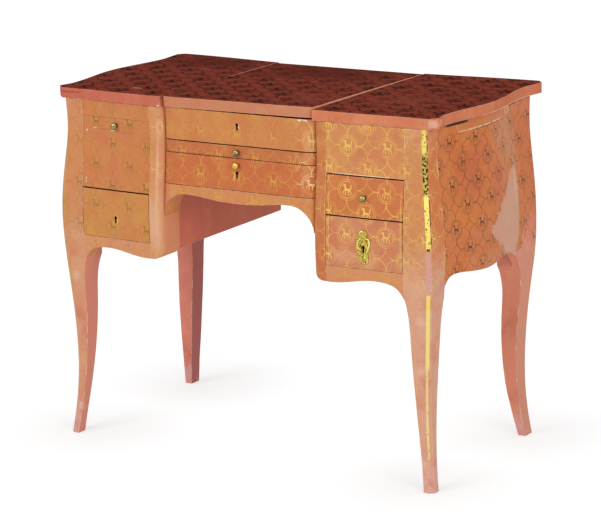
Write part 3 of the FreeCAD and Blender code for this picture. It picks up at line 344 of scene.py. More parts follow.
def ground_of(tree, place, up, ground, tone, top):
    """Two tones in clouds and streaks, with another two on a surface that faces up."""
    streak = noise(tree, vectors(tree, "MULTIPLY", place, DRAWN_UP), STREAK, 4.0)
    blend = node(tree, RANGE, maths(tree, "ADD", noise(tree, place, CLOUD, 3.0), streak), *TONES_MEET)
    blotch = noise(tree, place, BLOTCH, 5.0, Roughness=0.6)
    redder = node(tree, RANGE, blotch, *REDDER, 0.0, BLUSH_SHARE)
    faded = node(tree, RANGE, blotch, *FADED, 0.0, BLUSH_SHARE)
    colour = mixed(tree, redder, mixed(tree, blend, ground, tone), BLUSH)
    colour = mixed(tree, faded, colour, tone_of_fading(ground))
    if top:
        colour = mixed(tree, up, colour, mixed(tree, blend, top["ground"], top["tone"]))
    return scaled(tree, colour, node(tree, RANGE, noise(tree, place, SPECKLE, 2.0), *SPECKLED))


print("clouds", round(1 / CLOUD), "mm, streaks", round(1 / STREAK), "mm, blotches", round(1 / BLOTCH),
      "mm, speckle", round(1 / SPECKLE, 1), "mm")

# %% [markdown]
# Gold powder is stencilled on the second coat. The animals were laid on thicker than the lines, so
# each has its own share, and years of dusting have rubbed them in clouds of their own.

# %% Stencil on the lacquer
DUSTED, THINNED = 1 / 38.0, 1 / 21.0
LEFT_BY_DUSTING, LEFT_BY_THINNING = (0.34, 0.56, 0.5, 1.0), (0.36, 0.54, 0.3, 1.0)


def stencil(tree, place, normal, figures, lines):
    """Where the stencil still has its powder."""
    drawing = node(tree, GROUP, place, normal, node_tree=diaper).outputs
    rub = node(tree, RANGE, noise(tree, place, DUSTED, 5.0), *LEFT_BY_DUSTING)
    thin = node(tree, RANGE, noise(tree, place, THINNED, 5.0), *LEFT_BY_THINNING)
    return either(tree, times(tree, drawing["Figures"], rub, figures),
                  times(tree, drawing["Lines"], rub, thin, lines))


print("figures and lines are rubbed apart")

# %% [markdown]
# One function lays a patch on. A spot says where it is, how far it reaches, its colour and how
# strong it is. It may keep to a facing, break up into speckles, follow a band along the canted
# corner, keep to the walls of a hole or gap, be cut off along slants, or keep to the stencil's
# strokes, which then look freshly gilded.

# %% Laying on a patch
ALONG_CANT = (0.7071, 0.7071, 0.0)
TO_RIGHT, TO_BACK, TO_TOP = (1.0, 0.0, 0.0), (0.0, 1.0, 0.0), (0.0, 0.0, 1.0)
BAND_WANDER, SLANT_WANDER, SLANT_EDGE = 2.4, 46.0, (21.0, 27.0)
MOSTLY, IS_WALL = (0.6, 0.8), (0.6, 0.45)
FRONT_Y, SIDE_X, TOP_Z, REACH_IN, TOP_REACH = -225.0, 430.0, 731.0, 80.0, 9.0


def faces_out(tree, normal):
    """1 on a face or back of a front, and 0 on its edges and on the walls of its holes."""
    return maths(tree, "ABSOLUTE", dot(tree, normal, TO_BACK))


def laid_on(tree, place, normal, strokes, spot, colour, shine):
    """A colour and a metallic share with one spot over them."""
    masks = [node(tree, GROUP, place, spot["at"], spot["reach"], spot.get("edge", 0.5),
                  spot.get("ragged", 0.6), spot.get("grain", 0.1), node_tree=patch)]
    if "facing" in spot:
        masks.append(beyond(tree, dot(tree, normal, spot["facing"]), *spot.get("turn", (0.86, 0.93))))
    if "speckle" in spot:
        dots = noise(tree, place, spot.get("size", 0.4), 5.0)
        masks.append(beyond(tree, dots, spot["speckle"], spot["speckle"] + 0.03))
    if "band" in spot:
        middle, half = spot["band"]
        wander = maths(tree, "MULTIPLY", noise(tree, place, 0.09, 3.0), BAND_WANDER)
        across = maths(tree, "ADD", dot(tree, place, ALONG_CANT), wander)
        masks.append(beyond(tree, apart(tree, across, middle + BAND_WANDER / 2), half + 0.5, half - 0.5))
    if "walls" in spot:
        masks.append(beyond(tree, faces_out(tree, normal), *IS_WALL))
    for slope, level in spot.get("slants", ()):
        wander = maths(tree, "MULTIPLY", noise(tree, place, 0.045, 5.0, Roughness=0.6), SLANT_WANDER)
        height = maths(tree, "ADD", dot(tree, place, slope), wander)
        masks.append(beyond(tree, height, *[level + rise for rise in SLANT_EDGE]))
    if "inked" in spot:
        masks.append(strokes)
    mask = times(tree, *masks, spot["strength"])
    if shine is not None:
        shine = mixed(tree, mask, shine, spot.get("metal", 0.0), "FLOAT")
    return mixed(tree, mask, colour, spot["colour"]), shine


def spot(at, reach, colour, strength=1.0, **more):
    return dict(at=at, reach=reach, colour=colour, strength=strength, **more)


def on_front(x, z, wide, high, colour, strength=1.0, **more):
    """A spot on a front, by its middle and half its size."""
    return spot((x, FRONT_Y, z), (wide, REACH_IN, high), colour, strength, **more)


def on_side(y, z, wide, high, colour, strength=1.0, **more):
    return spot((SIDE_X, y, z), (REACH_IN, wide, high), colour, strength, **more)


def on_top(x, y, wide, deep, colour, strength=1.0, **more):
    return spot((x, y, TOP_Z), (wide, deep, TOP_REACH), colour, strength, facing=TO_TOP, **more)


print("spots are measured in millimetres")

# %% [markdown]
# Every material starts from an empty tree and a place in millimetres, and ends as one surface, so
# three functions do that for lacquer, wood and metal alike.

# %% Start and end of a material


def blank(holder, name):
    """A new material or world, and its emptied tree."""
    made = holder.new(name)
    made.use_nodes = True
    made.node_tree.nodes.clear()
    return made, made.node_tree


def coordinates(tree):
    """The place in millimetres and the normal, both of the piece itself."""
    coords = node(tree, "ShaderNodeTexCoord").outputs
    return scaled(tree, coords["Object"], 1 / MM), coords["Normal"]


def surface(tree, colour, roughness, height, strength, depth, soft=None, **more):
    """A surface that a height roughens to a depth in millimetres. Other inputs go by their names."""
    bump = node(tree, "ShaderNodeBump", named={"Strength": strength, "Distance": depth * MM,
                                               "Height": height, "Normal": soft})
    named = {"Base Color": colour, "Roughness": roughness, "Normal": bump, **more}
    node(tree, "ShaderNodeOutputMaterial", node(tree, "ShaderNodeBsdfPrincipled", named=named))


def dress(finish, *names):
    for name in names:
        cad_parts[name].material_slots[0].material = finish


print("materials before the lacquer", len(bpy.data.materials))

# %% [markdown]
# Now the whole finish. A thin old varnish over lacquer reflects little, so its specular level is
# low and it is satin rather than gloss. Broad zones of colour go under the stencil, among them the
# painted light and shade of some faces of the legs; small wear, painted shade in gaps and painted
# highlights go over it. The inside of a front is bare wood.

# %% Oil lacquer over wood
GOLD_LEAF, BARE_GESSO, BARE_WOOD = "e6bf5e", "ecd9bd", "c39a6b"
LACQUER_ROUGHNESS, LACQUER_SPECULAR = 0.46, 0.14
INK_FROM, INK_FADE = 430.0, 40.0
HANDLED, HANDLED_SHARE, BRUSHED = 1 / 16.0, (0.44, 0.60), 0.35
BRUSH_STRENGTH, BRUSH_DEPTH, SOFTENED = 0.12, 0.2, 1.0 * MM


def lacquer(name, ground, tone, ink=None, figures=1.0, lines=1.0, metal=0.0, top=None, bare=None,
            zones=(), spots_over_stencil=(), wear=0.06, rubbed=0.28, roughness=LACQUER_ROUGHNESS,
            specular=LACQUER_SPECULAR, dry_walls=False):
    """Lacquer with a ground and its second tone. Ink is the stencil's colour, laid on above a level
    and rubbed away to the shares given for figures and lines. Dry walls are unvarnished edges."""
    made, tree = blank(bpy.data.materials, name)
    place, normal = coordinates(tree)
    up = beyond(tree, dot(tree, normal, TO_TOP), *MOSTLY)
    colour = ground_of(tree, place, up, ground, tone, top)
    for zone in zones:
        colour, _ = laid_on(tree, place, normal, None, zone, colour, None)
    shiny = (ink and metal) or any("metal" in mark for mark in spots_over_stencil)
    shine, strokes = (0.0 if shiny else None), None
    if ink:
        height = dot(tree, place, TO_TOP)
        strokes = times(tree, stencil(tree, place, normal, figures, lines),
                        beyond(tree, height, INK_FROM - INK_FADE, INK_FROM), beyond(tree, up, 0.5, 0.1))
        colour = mixed(tree, strokes, colour, ink)
        if shiny:
            shine = times(tree, strokes, metal)
    if top:
        marks = times(tree, stencil(tree, place, normal, top["figures"], top["lines"]), up)
        colour = mixed(tree, marks, colour, top["ink"])
    worn_edge = node(tree, GROUP, place, wear, node_tree=arris).outputs
    handled = beyond(tree, noise(tree, place, HANDLED, 4.0), *HANDLED_SHARE)
    # The pale along the arrises is partly rubbed lacquer and partly a painted highlight on the edges.
    colour = mixed(tree, times(tree, worn_edge["Edge"], rubbed, handled), colour, BARE_GESSO)
    colour = mixed(tree, worn_edge["Chips"], colour, BARE_GESSO)
    for mark in spots_over_stencil:
        colour, shine = laid_on(tree, place, normal, strokes, mark, colour, shine)
    if bare:
        colour = mixed(tree, beyond(tree, dot(tree, normal, bare), *MOSTLY), colour, BARE_WOOD)
    if dry_walls:
        specular = node(tree, RANGE, faces_out(tree, normal), 0.45, 0.6, 0.0, specular)
    surface(tree, colour, roughness, noise(tree, place, BRUSHED, 3.0), BRUSH_STRENGTH, BRUSH_DEPTH,
            node(tree, "ShaderNodeBevel", SOFTENED, samples=4),
            **{"Metallic": shine, "Specular IOR Level": specular})
    return made


print("varnish roughness", LACQUER_ROUGHNESS, "and specular level", LACQUER_SPECULAR)

# %% [markdown]
# The three flaps are dark oxblood on top, under a black diaper, and coral on their edges. The
# edges differ a little from flap to flap, the left one being the pinkest. Their arrises
# are the most knocked part of the table, and a cup has left a faint ring on the left one. Their
# varnish is dulled by cleaning: at a low angle even a thin one would mirror the whole white room.

# %% Finish of the flaps
OXBLOOD = dict(ground="702d20", tone="793424", ink="1e0806", figures=1, lines=0.95)
FLAP_ROUGHNESS, FLAP_SPECULAR = 0.5, 0.001
# Painted shade: the flaps' edges in the seam between the left and the centre flap are made dark.
FLAP_SEAM_SHADE = spot((-177, -105, 724), (4, 125, 12), "642a1f", 0.85, ragged=0.6, edge=0.3)
FLAPS = {
    "left_flap": ("bd6553", "c6715b", [
        on_top(-275, -160, 14, 6, "b8705c", 0.6, ragged=1.2),
        on_top(-250, 3, 20, 24, "54201a", 0.5, edge=0.3),
        on_top(-250, 3, 16, 20, "6c3024", 0.9, edge=0.3),
        on_top(-300, 170, 160, 110, "4e1a13", 0.75, edge=0.9, ragged=1, grain=0.03),
        spot((-183, -228, 710.5), (5, 14, 2.5), BARE_GESSO, 0.8, speckle=0.50, size=0.25, ragged=0.8),
        spot((-410, -210, 722), (40, 22, 3), "8d4030", 0.5, ragged=1.4),
        # Painted highlight: a thin pale line on the left flap's edge along the back half of the seam.
        spot((-178, 130, 729.5), (1.8, 100, 3), "d08e74", 0.7, ragged=1, edge=0.3),
        FLAP_SEAM_SHADE,
    ]),
    "centre_flap": ("c68161", "c37d5e", [
        on_top(-20, 150, 220, 130, "4e1a13", 0.75, edge=0.9, ragged=1, grain=0.03),
        on_top(120, -120, 80, 60, "7a3628", 0.5, edge=0.9, ragged=1.2, grain=0.03),
        spot((176.2, -10, 731), (1.8, 240, 5), "e4a888", 0.8, ragged=0.8, edge=0.3),
        FLAP_SEAM_SHADE,
    ]),
    "right_flap": ("cf8260", "c97554", [
        on_top(252, 123, 30, 1.2, "a35c48", 0.7, ragged=0.5, edge=0.3),
        on_top(300, -60, 90, 80, "7d3c2b", 0.5, edge=0.9, ragged=1.2, grain=0.03),
        spot((440, 60, 709.5), (26, 150, 1.6), "e8c3a4", 0.6, ragged=1.6, grain=0.06),
        spot((430, -196, 720), (14, 22, 10), "e0b49a", 0.65, ragged=1),
    ]),
}
for name, (ground, tone, marks) in FLAPS.items():
    dress(lacquer("lacquer_" + name, ground, tone, top=OXBLOOD, wear=0.11, spots_over_stencil=marks,
                  roughness=FLAP_ROUGHNESS, specular=FLAP_SPECULAR), name)
# Painted shade: the slits over the cleats are drawn near black, as the dark inside them.
slit_shades = [on_side(-105, 702.5, 42, 3.4, "1c0d09", 0.95, ragged=0.5, edge=0.3),
         on_side(126, 702.5, 22, 3, "1c0d09", 0.95, ragged=0.6, edge=0.3)]
cleat_marks = [on_side(-20, 684.5, 120, 1.6, "ecd0ae", 0.85, ragged=1, speckle=0.45, size=0.2),
               on_side(98, 694, 18, 9, "e0d0b0", 0.75, speckle=0.54, size=0.30), *slit_shades]
dress(lacquer("lacquer_cleats", "c97b48", "c46b40", wear=0.08, rubbed=0.5, spots_over_stencil=cleat_marks),
      "left_flap_cleat", "right_flap_cleat")
print("flaps dressed:", ", ".join(FLAPS))

# %% [markdown]
# The fronts were coral once and have yellowed to orange ochre, each a little apart, so each has a
# ground of its own. The gold is brightest on the right and has gone olive on the left.

# %% Colours of the fronts
DULL, OLIVE = "8b6a30", "cfa147"
FRONTS = {  # ground, second tone, ink, share of the figures, share of the lines
    "left_upper_front": ("c67a47", "c8814f", DULL, 0.75, 0.55),
    "left_upper_drawer_front": ("c67a47", "c8814f", DULL, 0.9, 0.6),
    "left_lower_drawer_front": ("c88a48", "c7844c", DULL, 0.75, 0.55),
    "left_bottom_rail": ("cf8d5e", "d29270", DULL, 0.6, 0.3),
    "left_front_stile": ("cb8a59", "cf9468", OLIVE, 0.8, 0.7),
    "centre_upper_front": ("c8824b", "c57c48", OLIVE, 0.75, 0.6),
    "centre_drawer_front": ("c26e40", "be663b", OLIVE, 0.9, 0.8),
    "centre_apron": ("c88149", "cb8a5e", OLIVE, 0.8, 0.7),
    "right_upper_front": ("cb8853", "c88455", GOLD_LEAF, 1.0, 1.0),
    "right_upper_drawer_front": ("c57543", "c37143", GOLD_LEAF, 1.0, 1.0),
    "right_lower_drawer_front": ("c8865e", "c47956", GOLD_LEAF, 1.0, 1.0),
    "right_bottom_rail": ("cf8a5e", "cd8a60", OLIVE, 0.9, 0.8),
    "right_front_stile": ("c57a4a", "c07044", "d8ac58", 0.9, 1.0),
}
print("fronts", len(FRONTS))

# %% [markdown]
# The left drawer is cracked across under its knob and chipped down its left side. At the right
# end of the centre the gold is brightest, and there it is also painted brighter, with a pale wash,
# as a highlight where the front turns towards the light. The drawers at the right have a thin gilt
# line along their sides. The seam in the valley beside the left stile is painted dark as shade, and
# the edges inside the gaps and the walls of the keyholes are painted dark as the shade in them,
# which draws the joints. A streak down the left stile and pale lines along two lower edges are
# painted highlights.

# %% Wear, painted shade and painted highlights of the fronts
SMUDGE = dict(ragged=1.2, grain=0.06, edge=0.8)
# Painted shade: the faces inside the gaps, and the tops of the rails and the apron under the fronts, are
# made dark red-brown.
GAP_SHADE_COLOUR = "621404"
WHOLE_FRONT, CRISP = ((0, -215, 600), (600, 60, 200)), dict(edge=0.1, ragged=0)
PAINTED_GAP_SHADE = [spot(*WHOLE_FRONT, GAP_SHADE_COLOUR, 0.95, walls=True, **CRISP)]
PAINTED_SHADE_BELOW = [spot(*WHOLE_FRONT, GAP_SHADE_COLOUR, 0.95, facing=TO_TOP, **CRISP)]


def keyhole_shade(x, z):
    """Painted shade: the walls of the hole are made near black."""
    return [spot((x, -215, z - 4), (7, 60, 12.5), "0c0705", walls=True, edge=0.02, ragged=0)]


left_smudges = [on_front(-209, 690, 5, 16, "d2a04a", 0.35, **SMUDGE),
                on_front(-214, 620, 8, 20, "b07f30", 0.50, **SMUDGE),
                on_front(-212, 548, 6, 12, "c8983f", 0.35, **SMUDGE),
                on_front(-372, 625, 8, 22, "b98a3a", 0.35, **SMUDGE)]
# Partly painted highlight: the brightest gold strokes and the pale wash at the right end of the centre,
# where the front turns towards the light. The white chips along its top are wear.
gilt_and_highlight_end = [on_front(156, 640, 26, 90, "f2e2a4", inked=True, metal=0.3),
            on_front(160, 640, 14, 80, "d9a06c", 0.35, ragged=1.8, grain=0.09),
            on_front(150, 706, 14, 2.6, "f0e4cc", 0.9, speckle=0.44, size=0.3),
            on_front(171.5, 672, 1.2, 34, "e3bd6a", 0.7, ragged=0.8)]
seam_shade = [on_front(-176, 620, 1.6, 92, "7c3a26", 0.75, ragged=0.5, edge=0.4)]
gilt_sides = [on_front(x, 520, 1.1, 90, "e0b860", 0.75, ragged=0.9, speckle=0.38, metal=0.4)
              for x in (214.2, 370.4)]
FRONT_SPOTS = {
    "left_upper_drawer_front": [
        on_front(-322, 651.8, 48, 0.8, "a4563a", 0.55, ragged=0.9, edge=0.5),
        on_front(-343, 652.4, 8, 1, "e8c9a8", 0.85, ragged=1, edge=0.5, speckle=0.48, size=0.3),
        on_front(-300, 650.4, 4.5, 1, "f0d6c4", 0.8, ragged=0.6, edge=0.3),
        on_front(-268, 648, 6, 2, "8a8055", 0.7, ragged=0.9, edge=0.5),
        on_front(-366, 646.5, 1.4, 2.4, "f2e0cc", 0.85, edge=0.3),
        on_front(-366.6, 545, 1.3, 7, "f2e4d2", 0.90, speckle=0.44, size=0.35, ragged=0.4, edge=0.4),
        *left_smudges],
    "left_front_stile": [
        on_front(-195, 465, 26, 80, "daa888", 0.75, edge=0.9, ragged=0.9),
        # Painted highlight: a pale streak down the rounded corner of the stile.
        on_front(-189, 560, 4, 140, "e2b49a", 0.45, edge=0.9, ragged=1),
        on_front(-184, 664, 22, 28, "f4dc8c", inked=True),
        on_front(-184, 580, 22, 30, "f4dc8c", inked=True),
        on_front(-190, 560, 60, 200, "d8906e", 0.85, facing=TO_RIGHT, turn=(0.6, 0.95), edge=0.1),
        *seam_shade],
    "left_upper_front": left_smudges[:1],
    "left_bottom_rail": PAINTED_SHADE_BELOW,
    "right_bottom_rail": PAINTED_SHADE_BELOW,
    "centre_upper_front": [*seam_shade, *gilt_and_highlight_end,
                           on_front(4.6, 681, 1, 5, "f0e2c6", 0.7, ragged=1),
                           *PAINTED_GAP_SHADE, *keyhole_shade(0, 685)],
    "left_lower_drawer_front": [on_front(-286.8, 468, 0.9, 6, "f0e2c6", 0.7, ragged=1),
                                on_front(-210, 500, 3, 22, "c08a38", 0.4, **SMUDGE),
                                *PAINTED_GAP_SHADE, *keyhole_shade(-291.5, 474)],
    "centre_drawer_front": [
        *gilt_and_highlight_end, on_front(-5.5, 582, 3, 9, "dcae58", 0.5, ragged=1.3),
        on_front(-61, 612, 30, 26, "deb04e", 0.9, inked=True),
        on_front(-70, 617.6, 120, 0.8, "8a4a30", 0.4, ragged=1.2),
        *PAINTED_GAP_SHADE, *keyhole_shade(0, 590)],
    "centre_apron": [*PAINTED_SHADE_BELOW, *gilt_and_highlight_end,
                     on_front(-172, 535, 16, 30, "c9785c", 0.75, edge=0.6, ragged=0.6),
                     on_front(0, 556, 160, 1.4, "e6b890", 0.55, ragged=1)],
    "right_upper_front": [on_front(200, 665, 16, 36, "cf9a48", 0.22, ragged=1.7, grain=0.08),
                          # Painted highlight: a pale line along the lower edge.
                          on_front(290, 611, 76, 1, "f2d2ac", 0.8, ragged=0.8), *PAINTED_GAP_SHADE],
    "right_upper_drawer_front": [*PAINTED_GAP_SHADE, *gilt_sides,
                                 # Painted highlight: a pale line along the drawer's lower edge.
                                 on_front(291, 531, 76, 1, "e8bd90", 0.6, ragged=0.9)],
    "right_lower_drawer_front": [
        *PAINTED_GAP_SHADE, *keyhole_shade(291.5, 474),
        *gilt_sides, on_front(270, 452, 60, 14, "d79a7c", 0.45, ragged=1.4, grain=0.05)],
    "right_front_stile": [on_front(206, 560, 1.2, 130, "d9ad62", 0.5, ragged=1.4)],
}
# How pale the arrises are painted: partly rubbed lacquer and partly painted highlight, raised on the rails
# and the apron for the light along their lower edges.
RUB_AND_HIGHLIGHT, LEFT_RUB_AND_HIGHLIGHT, RIGHT_RUB_AND_HIGHLIGHT = {"rail": 0.3, "apron": 0.6}, 0.1, 0.28
LEAF_SHINE = 0.35
for name, (ground, tone, ink, figures, lines) in FRONTS.items():
    rubbed = RUB_AND_HIGHLIGHT.get(name.split("_")[-1], LEFT_RUB_AND_HIGHLIGHT if name.startswith("left") else RIGHT_RUB_AND_HIGHLIGHT)
    dress(lacquer("lacquer_" + name, ground, tone, ink, figures, lines,
                  LEAF_SHINE if ink == GOLD_LEAF else 0.0, bare=TO_BACK, rubbed=rubbed, dry_walls=True,
                  spots_over_stencil=FRONT_SPOTS.get(name, ())), name)
# Painted shade on the slide's edges inside its gaps.
slide_marks = [spot((0, -240, 630), (600, 24, 30), GAP_SHADE_COLOUR, 0.95, walls=True, **CRISP),
               *gilt_and_highlight_end, on_front(-70, 621, 120, 0.9, "8a4a30", 0.35, ragged=1.2)]
dress(lacquer("lacquer_slide", "bd6f41", "bb6b41", OLIVE, figures=0.6, lines=0.6, dry_walls=True,
              spots_over_stencil=slide_marks), "brushing_slide")
print("spots on the fronts", sum(len(marks) for marks in FRONT_SPOTS.values()))

# %% [markdown]
# The sides kept more red, under a dark olive diaper. The light that faded the rest has left
# clouds, and near the back post the lacquer has lifted over a pale wedge of gesso. The same
# clouds, turned over, serve the left side.

# %% Finish of the sides
SIDE_INK = "3c2c18"
HAZE = dict(edge=0.9, ragged=1.1, grain=0.035)
side_zones = [on_side(-70, 600, 70, 70, "bd6340", 0.7, **HAZE),
              on_side(60, 660, 50, 40, "c98456", 0.7, **HAZE),
              on_side(40, 560, 50, 60, "c4623e", 0.6, **HAZE),
              on_side(-40, 470, 110, 40, "c6764e", 0.7, **HAZE),
              on_side(10, 415, 160, 34, "c88460", 0.7, **HAZE),
              on_side(127, 600, 20, 95, "b98a6c", 0.55, edge=0.9, ragged=0.8)]
FLAME = dict(edge=0.08, ragged=0.1, slants=[((0, 0.60, -0.80), -392), ((0, 0.60, 0.80), 368)])
side_spots = [on_side(100, 640, 30, 62, "c48c68", 0.45, edge=0.8, ragged=0.9, grain=0.05),
             on_side(70, 618, 3, 34, "a8906c", 0.55, edge=0.7, ragged=0.7),
             on_side(48, 500, 90, 110, "cd9b81", 0.82, **FLAME),
             on_side(124, 540, 5, 60, "dab59c", 0.45, edge=0.7, ragged=0.9),
             on_side(150, 640, 12, 50, "c4643e", 0.55, **HAZE),
             on_side(105, 400, 3.4, 4, "34180f", 0.95, edge=0.4),
             on_side(98, 694, 20, 9, "e0d0b0", 0.75, speckle=0.54, size=0.30),
             # The dark line under the cleat's lower edge is a painted shadow; the slits after it are painted
             # shade.
             on_side(-20, 682, 118, 1, "6b3322", 0.8, ragged=0.8), *slit_shades]


def turned_over(marks):
    return [dict(mark, at=(-mark["at"][0], *mark["at"][1:])) for mark in marks]


for side, way, zones, marks in (("left", 1, turned_over(side_zones), ()),
                                ("right", -1, side_zones, side_spots)):
    dress(lacquer(f"lacquer_{side}_side", "cc7138", "cc7a42", SIDE_INK, figures=0.9, lines=1,
                  zones=zones, spots_over_stencil=marks, bare=(way, 0, 0)), f"{side}_side_panel")
    dress(lacquer(f"lacquer_{side}_kneehole", "cf705a", "c66c54"), f"{side}_kneehole_side")
print("zones and spots on a side", len(side_zones), len(side_spots))

# %% [markdown]
# Each leg runs up into a post of the case. The post is coloured like the fronts and sides beside
# it. Below the case a leg is pale pink, from scuffs and cleaning, and palest at the foot. The
# canted corner at the front was gilded over black, which shows where the leaf has gone.

# %% Zones of the legs
POST_MIDDLE, POST_HALF = 580, 185


def post_zones(side, front_colour, side_colour):
    """The post's colours above the case's lower edge, by facing, and the leg's at its foot."""
    return [*[spot((side * 400, 0, POST_MIDDLE), (90, 400, POST_HALF), colour, 0.95, facing=facing,
                   edge=0.5, ragged=0.5, turn=MOSTLY)
              for colour, facing in ((front_colour, (0, -1, 0)), (side_colour, (side, 0, 0)))],
            spot((side * 400, 0, 14), (90, 400, 44), "dda4a2", 0.85, edge=0.8, ragged=0.8)]


CANT = (0.7071, -0.7071, 0)
leg_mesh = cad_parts["front_right_leg"].data
canted = [leg_mesh.vertices[number].co.dot(Vector(ALONG_CANT)) / MM for face in leg_mesh.polygons
          if face.normal.dot(Vector(CANT)) > 0.97 and face.center.z > 450 * MM for number in face.vertices]
CANT_FROM, CANT_WIDTH = min(canted), max(canted) - min(canted)


def on_cant(z, high, colour, strength=1, band=None, **more):
    """A spot on the canted corner. A band is its two sides in shares of the width."""
    if band:
        more["band"] = (CANT_FROM + CANT_WIDTH * sum(band) / 2, CANT_WIDTH * (band[1] - band[0]) / 2)
    return spot((430, -222, z), (60, 60, high), colour, strength, facing=CANT, **more)


gilt_corner = [
    on_cant(595, 116, "ecd26c", metal=0.5, edge=0.03, ragged=0.06, band=(0, 0.82)),
    on_cant(623, 46, "a08a34", 0.7, edge=0.3, ragged=0.5, metal=0.3, band=(0, 0.82)),
    on_cant(623, 44, "191308", 0.95, speckle=0.49, size=0.22, edge=0.2, ragged=0.4, band=(0, 0.9)),
    on_cant(688, 18, "8a7a30", 0.8, speckle=0.52, size=0.22, band=(0, 0.82)),
    on_cant(525, 46, "4a3512", 0.8, speckle=0.56, size=0.22, band=(0, 0.82)),
    on_cant(595, 116, "2a1a0c", 0.85, speckle=0.48, size=0.10, band=(0.80, 1), edge=0.1),
    on_cant(436, 44, "cf9a96", 0.8, edge=0.15, ragged=0.3, band=(0, 0.8)),
    on_cant(481, 3, "140d08", 0.9, ragged=0.9, band=(0.1, 0.7)),
    on_cant(371, 22, "ecd26c", metal=0.4, edge=0.1, ragged=0.3, band=(0, 0.7)),
    on_cant(300, 60, "ecd480", metal=0.35, edge=0.1, ragged=0.3, band=(0, 0.68)),
    on_cant(160, 120, "e8d08c", 0.9, metal=0.3, speckle=0.37, size=0.12, ragged=0.4, band=(0.05, 0.45)),
]
SCUFFS = [  # height, half height, colour, strength, one after another down a leg
    (372, 20, "c5785f", 0.55), (338, 16, "e0b296", 0.60), (286, 26, "c7836c", 0.55),
    (238, 16, "e3b8a0", 0.60), (196, 22, "c47a66", 0.50), (150, 18, "deae9c", 0.55),
    (104, 20, "c2786a", 0.50), (58, 18, "e6c2b4", 0.65), (20, 12, "b87068", 0.50)]


def scuffs(side, deep, share):
    """Rubbed and darker places down a leg, a third of its width and broken up."""
    return [spot((side * (418 + 9 * (-1) ** number), deep * 225, z), (16, 18, high), colour,
                 strength * share, ragged=1.6, grain=0.08, edge=0.9)
            for number, (z, high, colour, strength) in enumerate(SCUFFS)]


print("stages of the gilt corner", len(gilt_corner), "on", round(CANT_WIDTH, 1), "mm")

# %% [markdown]
# The legs differ: the front right one is the palest and keeps its gilding, the back ones are
# redder and scuffed at the foot.

# %% Finish of the legs
LEGS = {  # ground, second tone, front and side colour of the post, ink, figures, lines
    "front_left_leg": ("d29872", "cf8c6e", "c98454", "c0704c", DULL, 0.7, 0.6),
    "front_right_leg": ("d39b7c", "d59f88", "c6824d", "cc7138", "dcb25e", 1.0, 1.0),
    "back_left_leg": ("de8874", "d88272", "c8705c", "c0704c", SIDE_INK, 0.6, 0.4),
    "back_right_leg": ("dd8a6e", "da8a72", "c8744c", "c8703e", SIDE_INK, 0.8, 0.7),
}
LEG_MARKS = {
    "front_right_leg": gilt_corner,
    "front_left_leg": [
        spot((-420, -222, z), (wide, 60, high), colour, share, ragged=1.8, grain=0.09)
        for z, wide, high, colour, share in (
            (430, 4, 230, "c99a55", 0.40), (480, 12, 46, "b98a40", 0.40),
            (330, 9, 60, "c0904a", 0.40), (610, 14, 40, "bd8b3e", 0.35))],
}
# Partly painted light and shade: these colours follow how light falls on each face, and the back left leg's
# inner face is painted dark as the shade it stands in.
RIGHT_FACE_LIGHT_AND_SHADE = {  # on the faces that look right: place, reach, colour and turn
    "front_left_leg": ((-420, -180, 200), (90, 90, 260), "d78673", (0.5, 0.7)),
    "back_left_leg": ((-420, 150, 200), (90, 150, 230), "a95c56", MOSTLY),
    "back_right_leg": ((420, 150, 200), (90, 150, 230), "cf8a70", MOSTLY),
}
for name, (ground, tone, front_colour, side_colour, *inking) in LEGS.items():
    side = 1.0 if "right" in name else -1.0
    marks = scuffs(side, *((-1.0, 0.8) if "front" in name else (1.0, 0.6))) + LEG_MARKS.get(name, [])
    zones = post_zones(side, front_colour, side_colour)
    if name in RIGHT_FACE_LIGHT_AND_SHADE:
        *box, colour, turn = RIGHT_FACE_LIGHT_AND_SHADE[name]
        zones.append(spot(*box, colour, 0.9, edge=0.2, facing=TO_RIGHT, turn=turn))
    dress(lacquer("lacquer_" + name, ground, tone, *inking, wear=0.26, rubbed=0.3, zones=zones,
                  spots_over_stencil=marks), name)
print("legs dressed:", ", ".join(LEGS))

# %% [markdown]
# What the lacquer doesn't cover is plain wood: case boards, drawer boxes and the back. Beech is a
# pale pinkish brown and planed smooth, with a dry, hardly shiny face. Grain is noise
# stretched a long way along each board, over slower changes of tone.

# %% Planed beech
GRAIN_WIDTH, GRAIN_STRETCH = 5.0, 22
BEECH, DARKER_BEECH, GRAIN_COLOUR = "c8a071", "b98d5c", "8f6640"
OVERRUN = "b9604a"


def planed(name, along, edges=None):
    """Bare beech with its grain along an axis, 0 for X, 1 for Y and 2 for Z, and lacquer that
    ran over its edges."""
    made, tree = blank(bpy.data.materials, name)
    coords = node(tree, "ShaderNodeTexCoord").outputs
    stretch = [1 / GRAIN_WIDTH / MM] * 3
    stretch[along] /= GRAIN_STRETCH
    grain = noise(tree, vectors(tree, "MULTIPLY", coords["Object"], stretch), 1.0, 6.0, Distortion=0.6)
    board = mixed(tree, noise(tree, coords["Object"], 5.0, 1.0), BEECH, DARKER_BEECH)
    colour = mixed(tree, node(tree, RANGE, grain, 0.35, 0.72), board, GRAIN_COLOUR)
    if edges:
        colour = mixed(tree, beyond(tree, faces_out(tree, coords["Normal"]), *IS_WALL), colour, edges)
    surface(tree, colour, 0.62, grain, 0.25, 0.2)
    return made


beech = [planed("planed_beech_" + word, axis) for axis, word in enumerate(("across", "deep"))]
dress(planed("planed_beech_back", 0, OVERRUN), "back_panels")
dress(beech[0], "dustboards", "kneehole_ceiling", "bottom_boards", "centre_well_floor", "mirror_frame")
dress(beech[1], "runners", "top_rails", "left_well_tray", "right_well_tray",
      *[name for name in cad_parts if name.endswith("_box")])
print("planed finishes", len(beech) + 1)

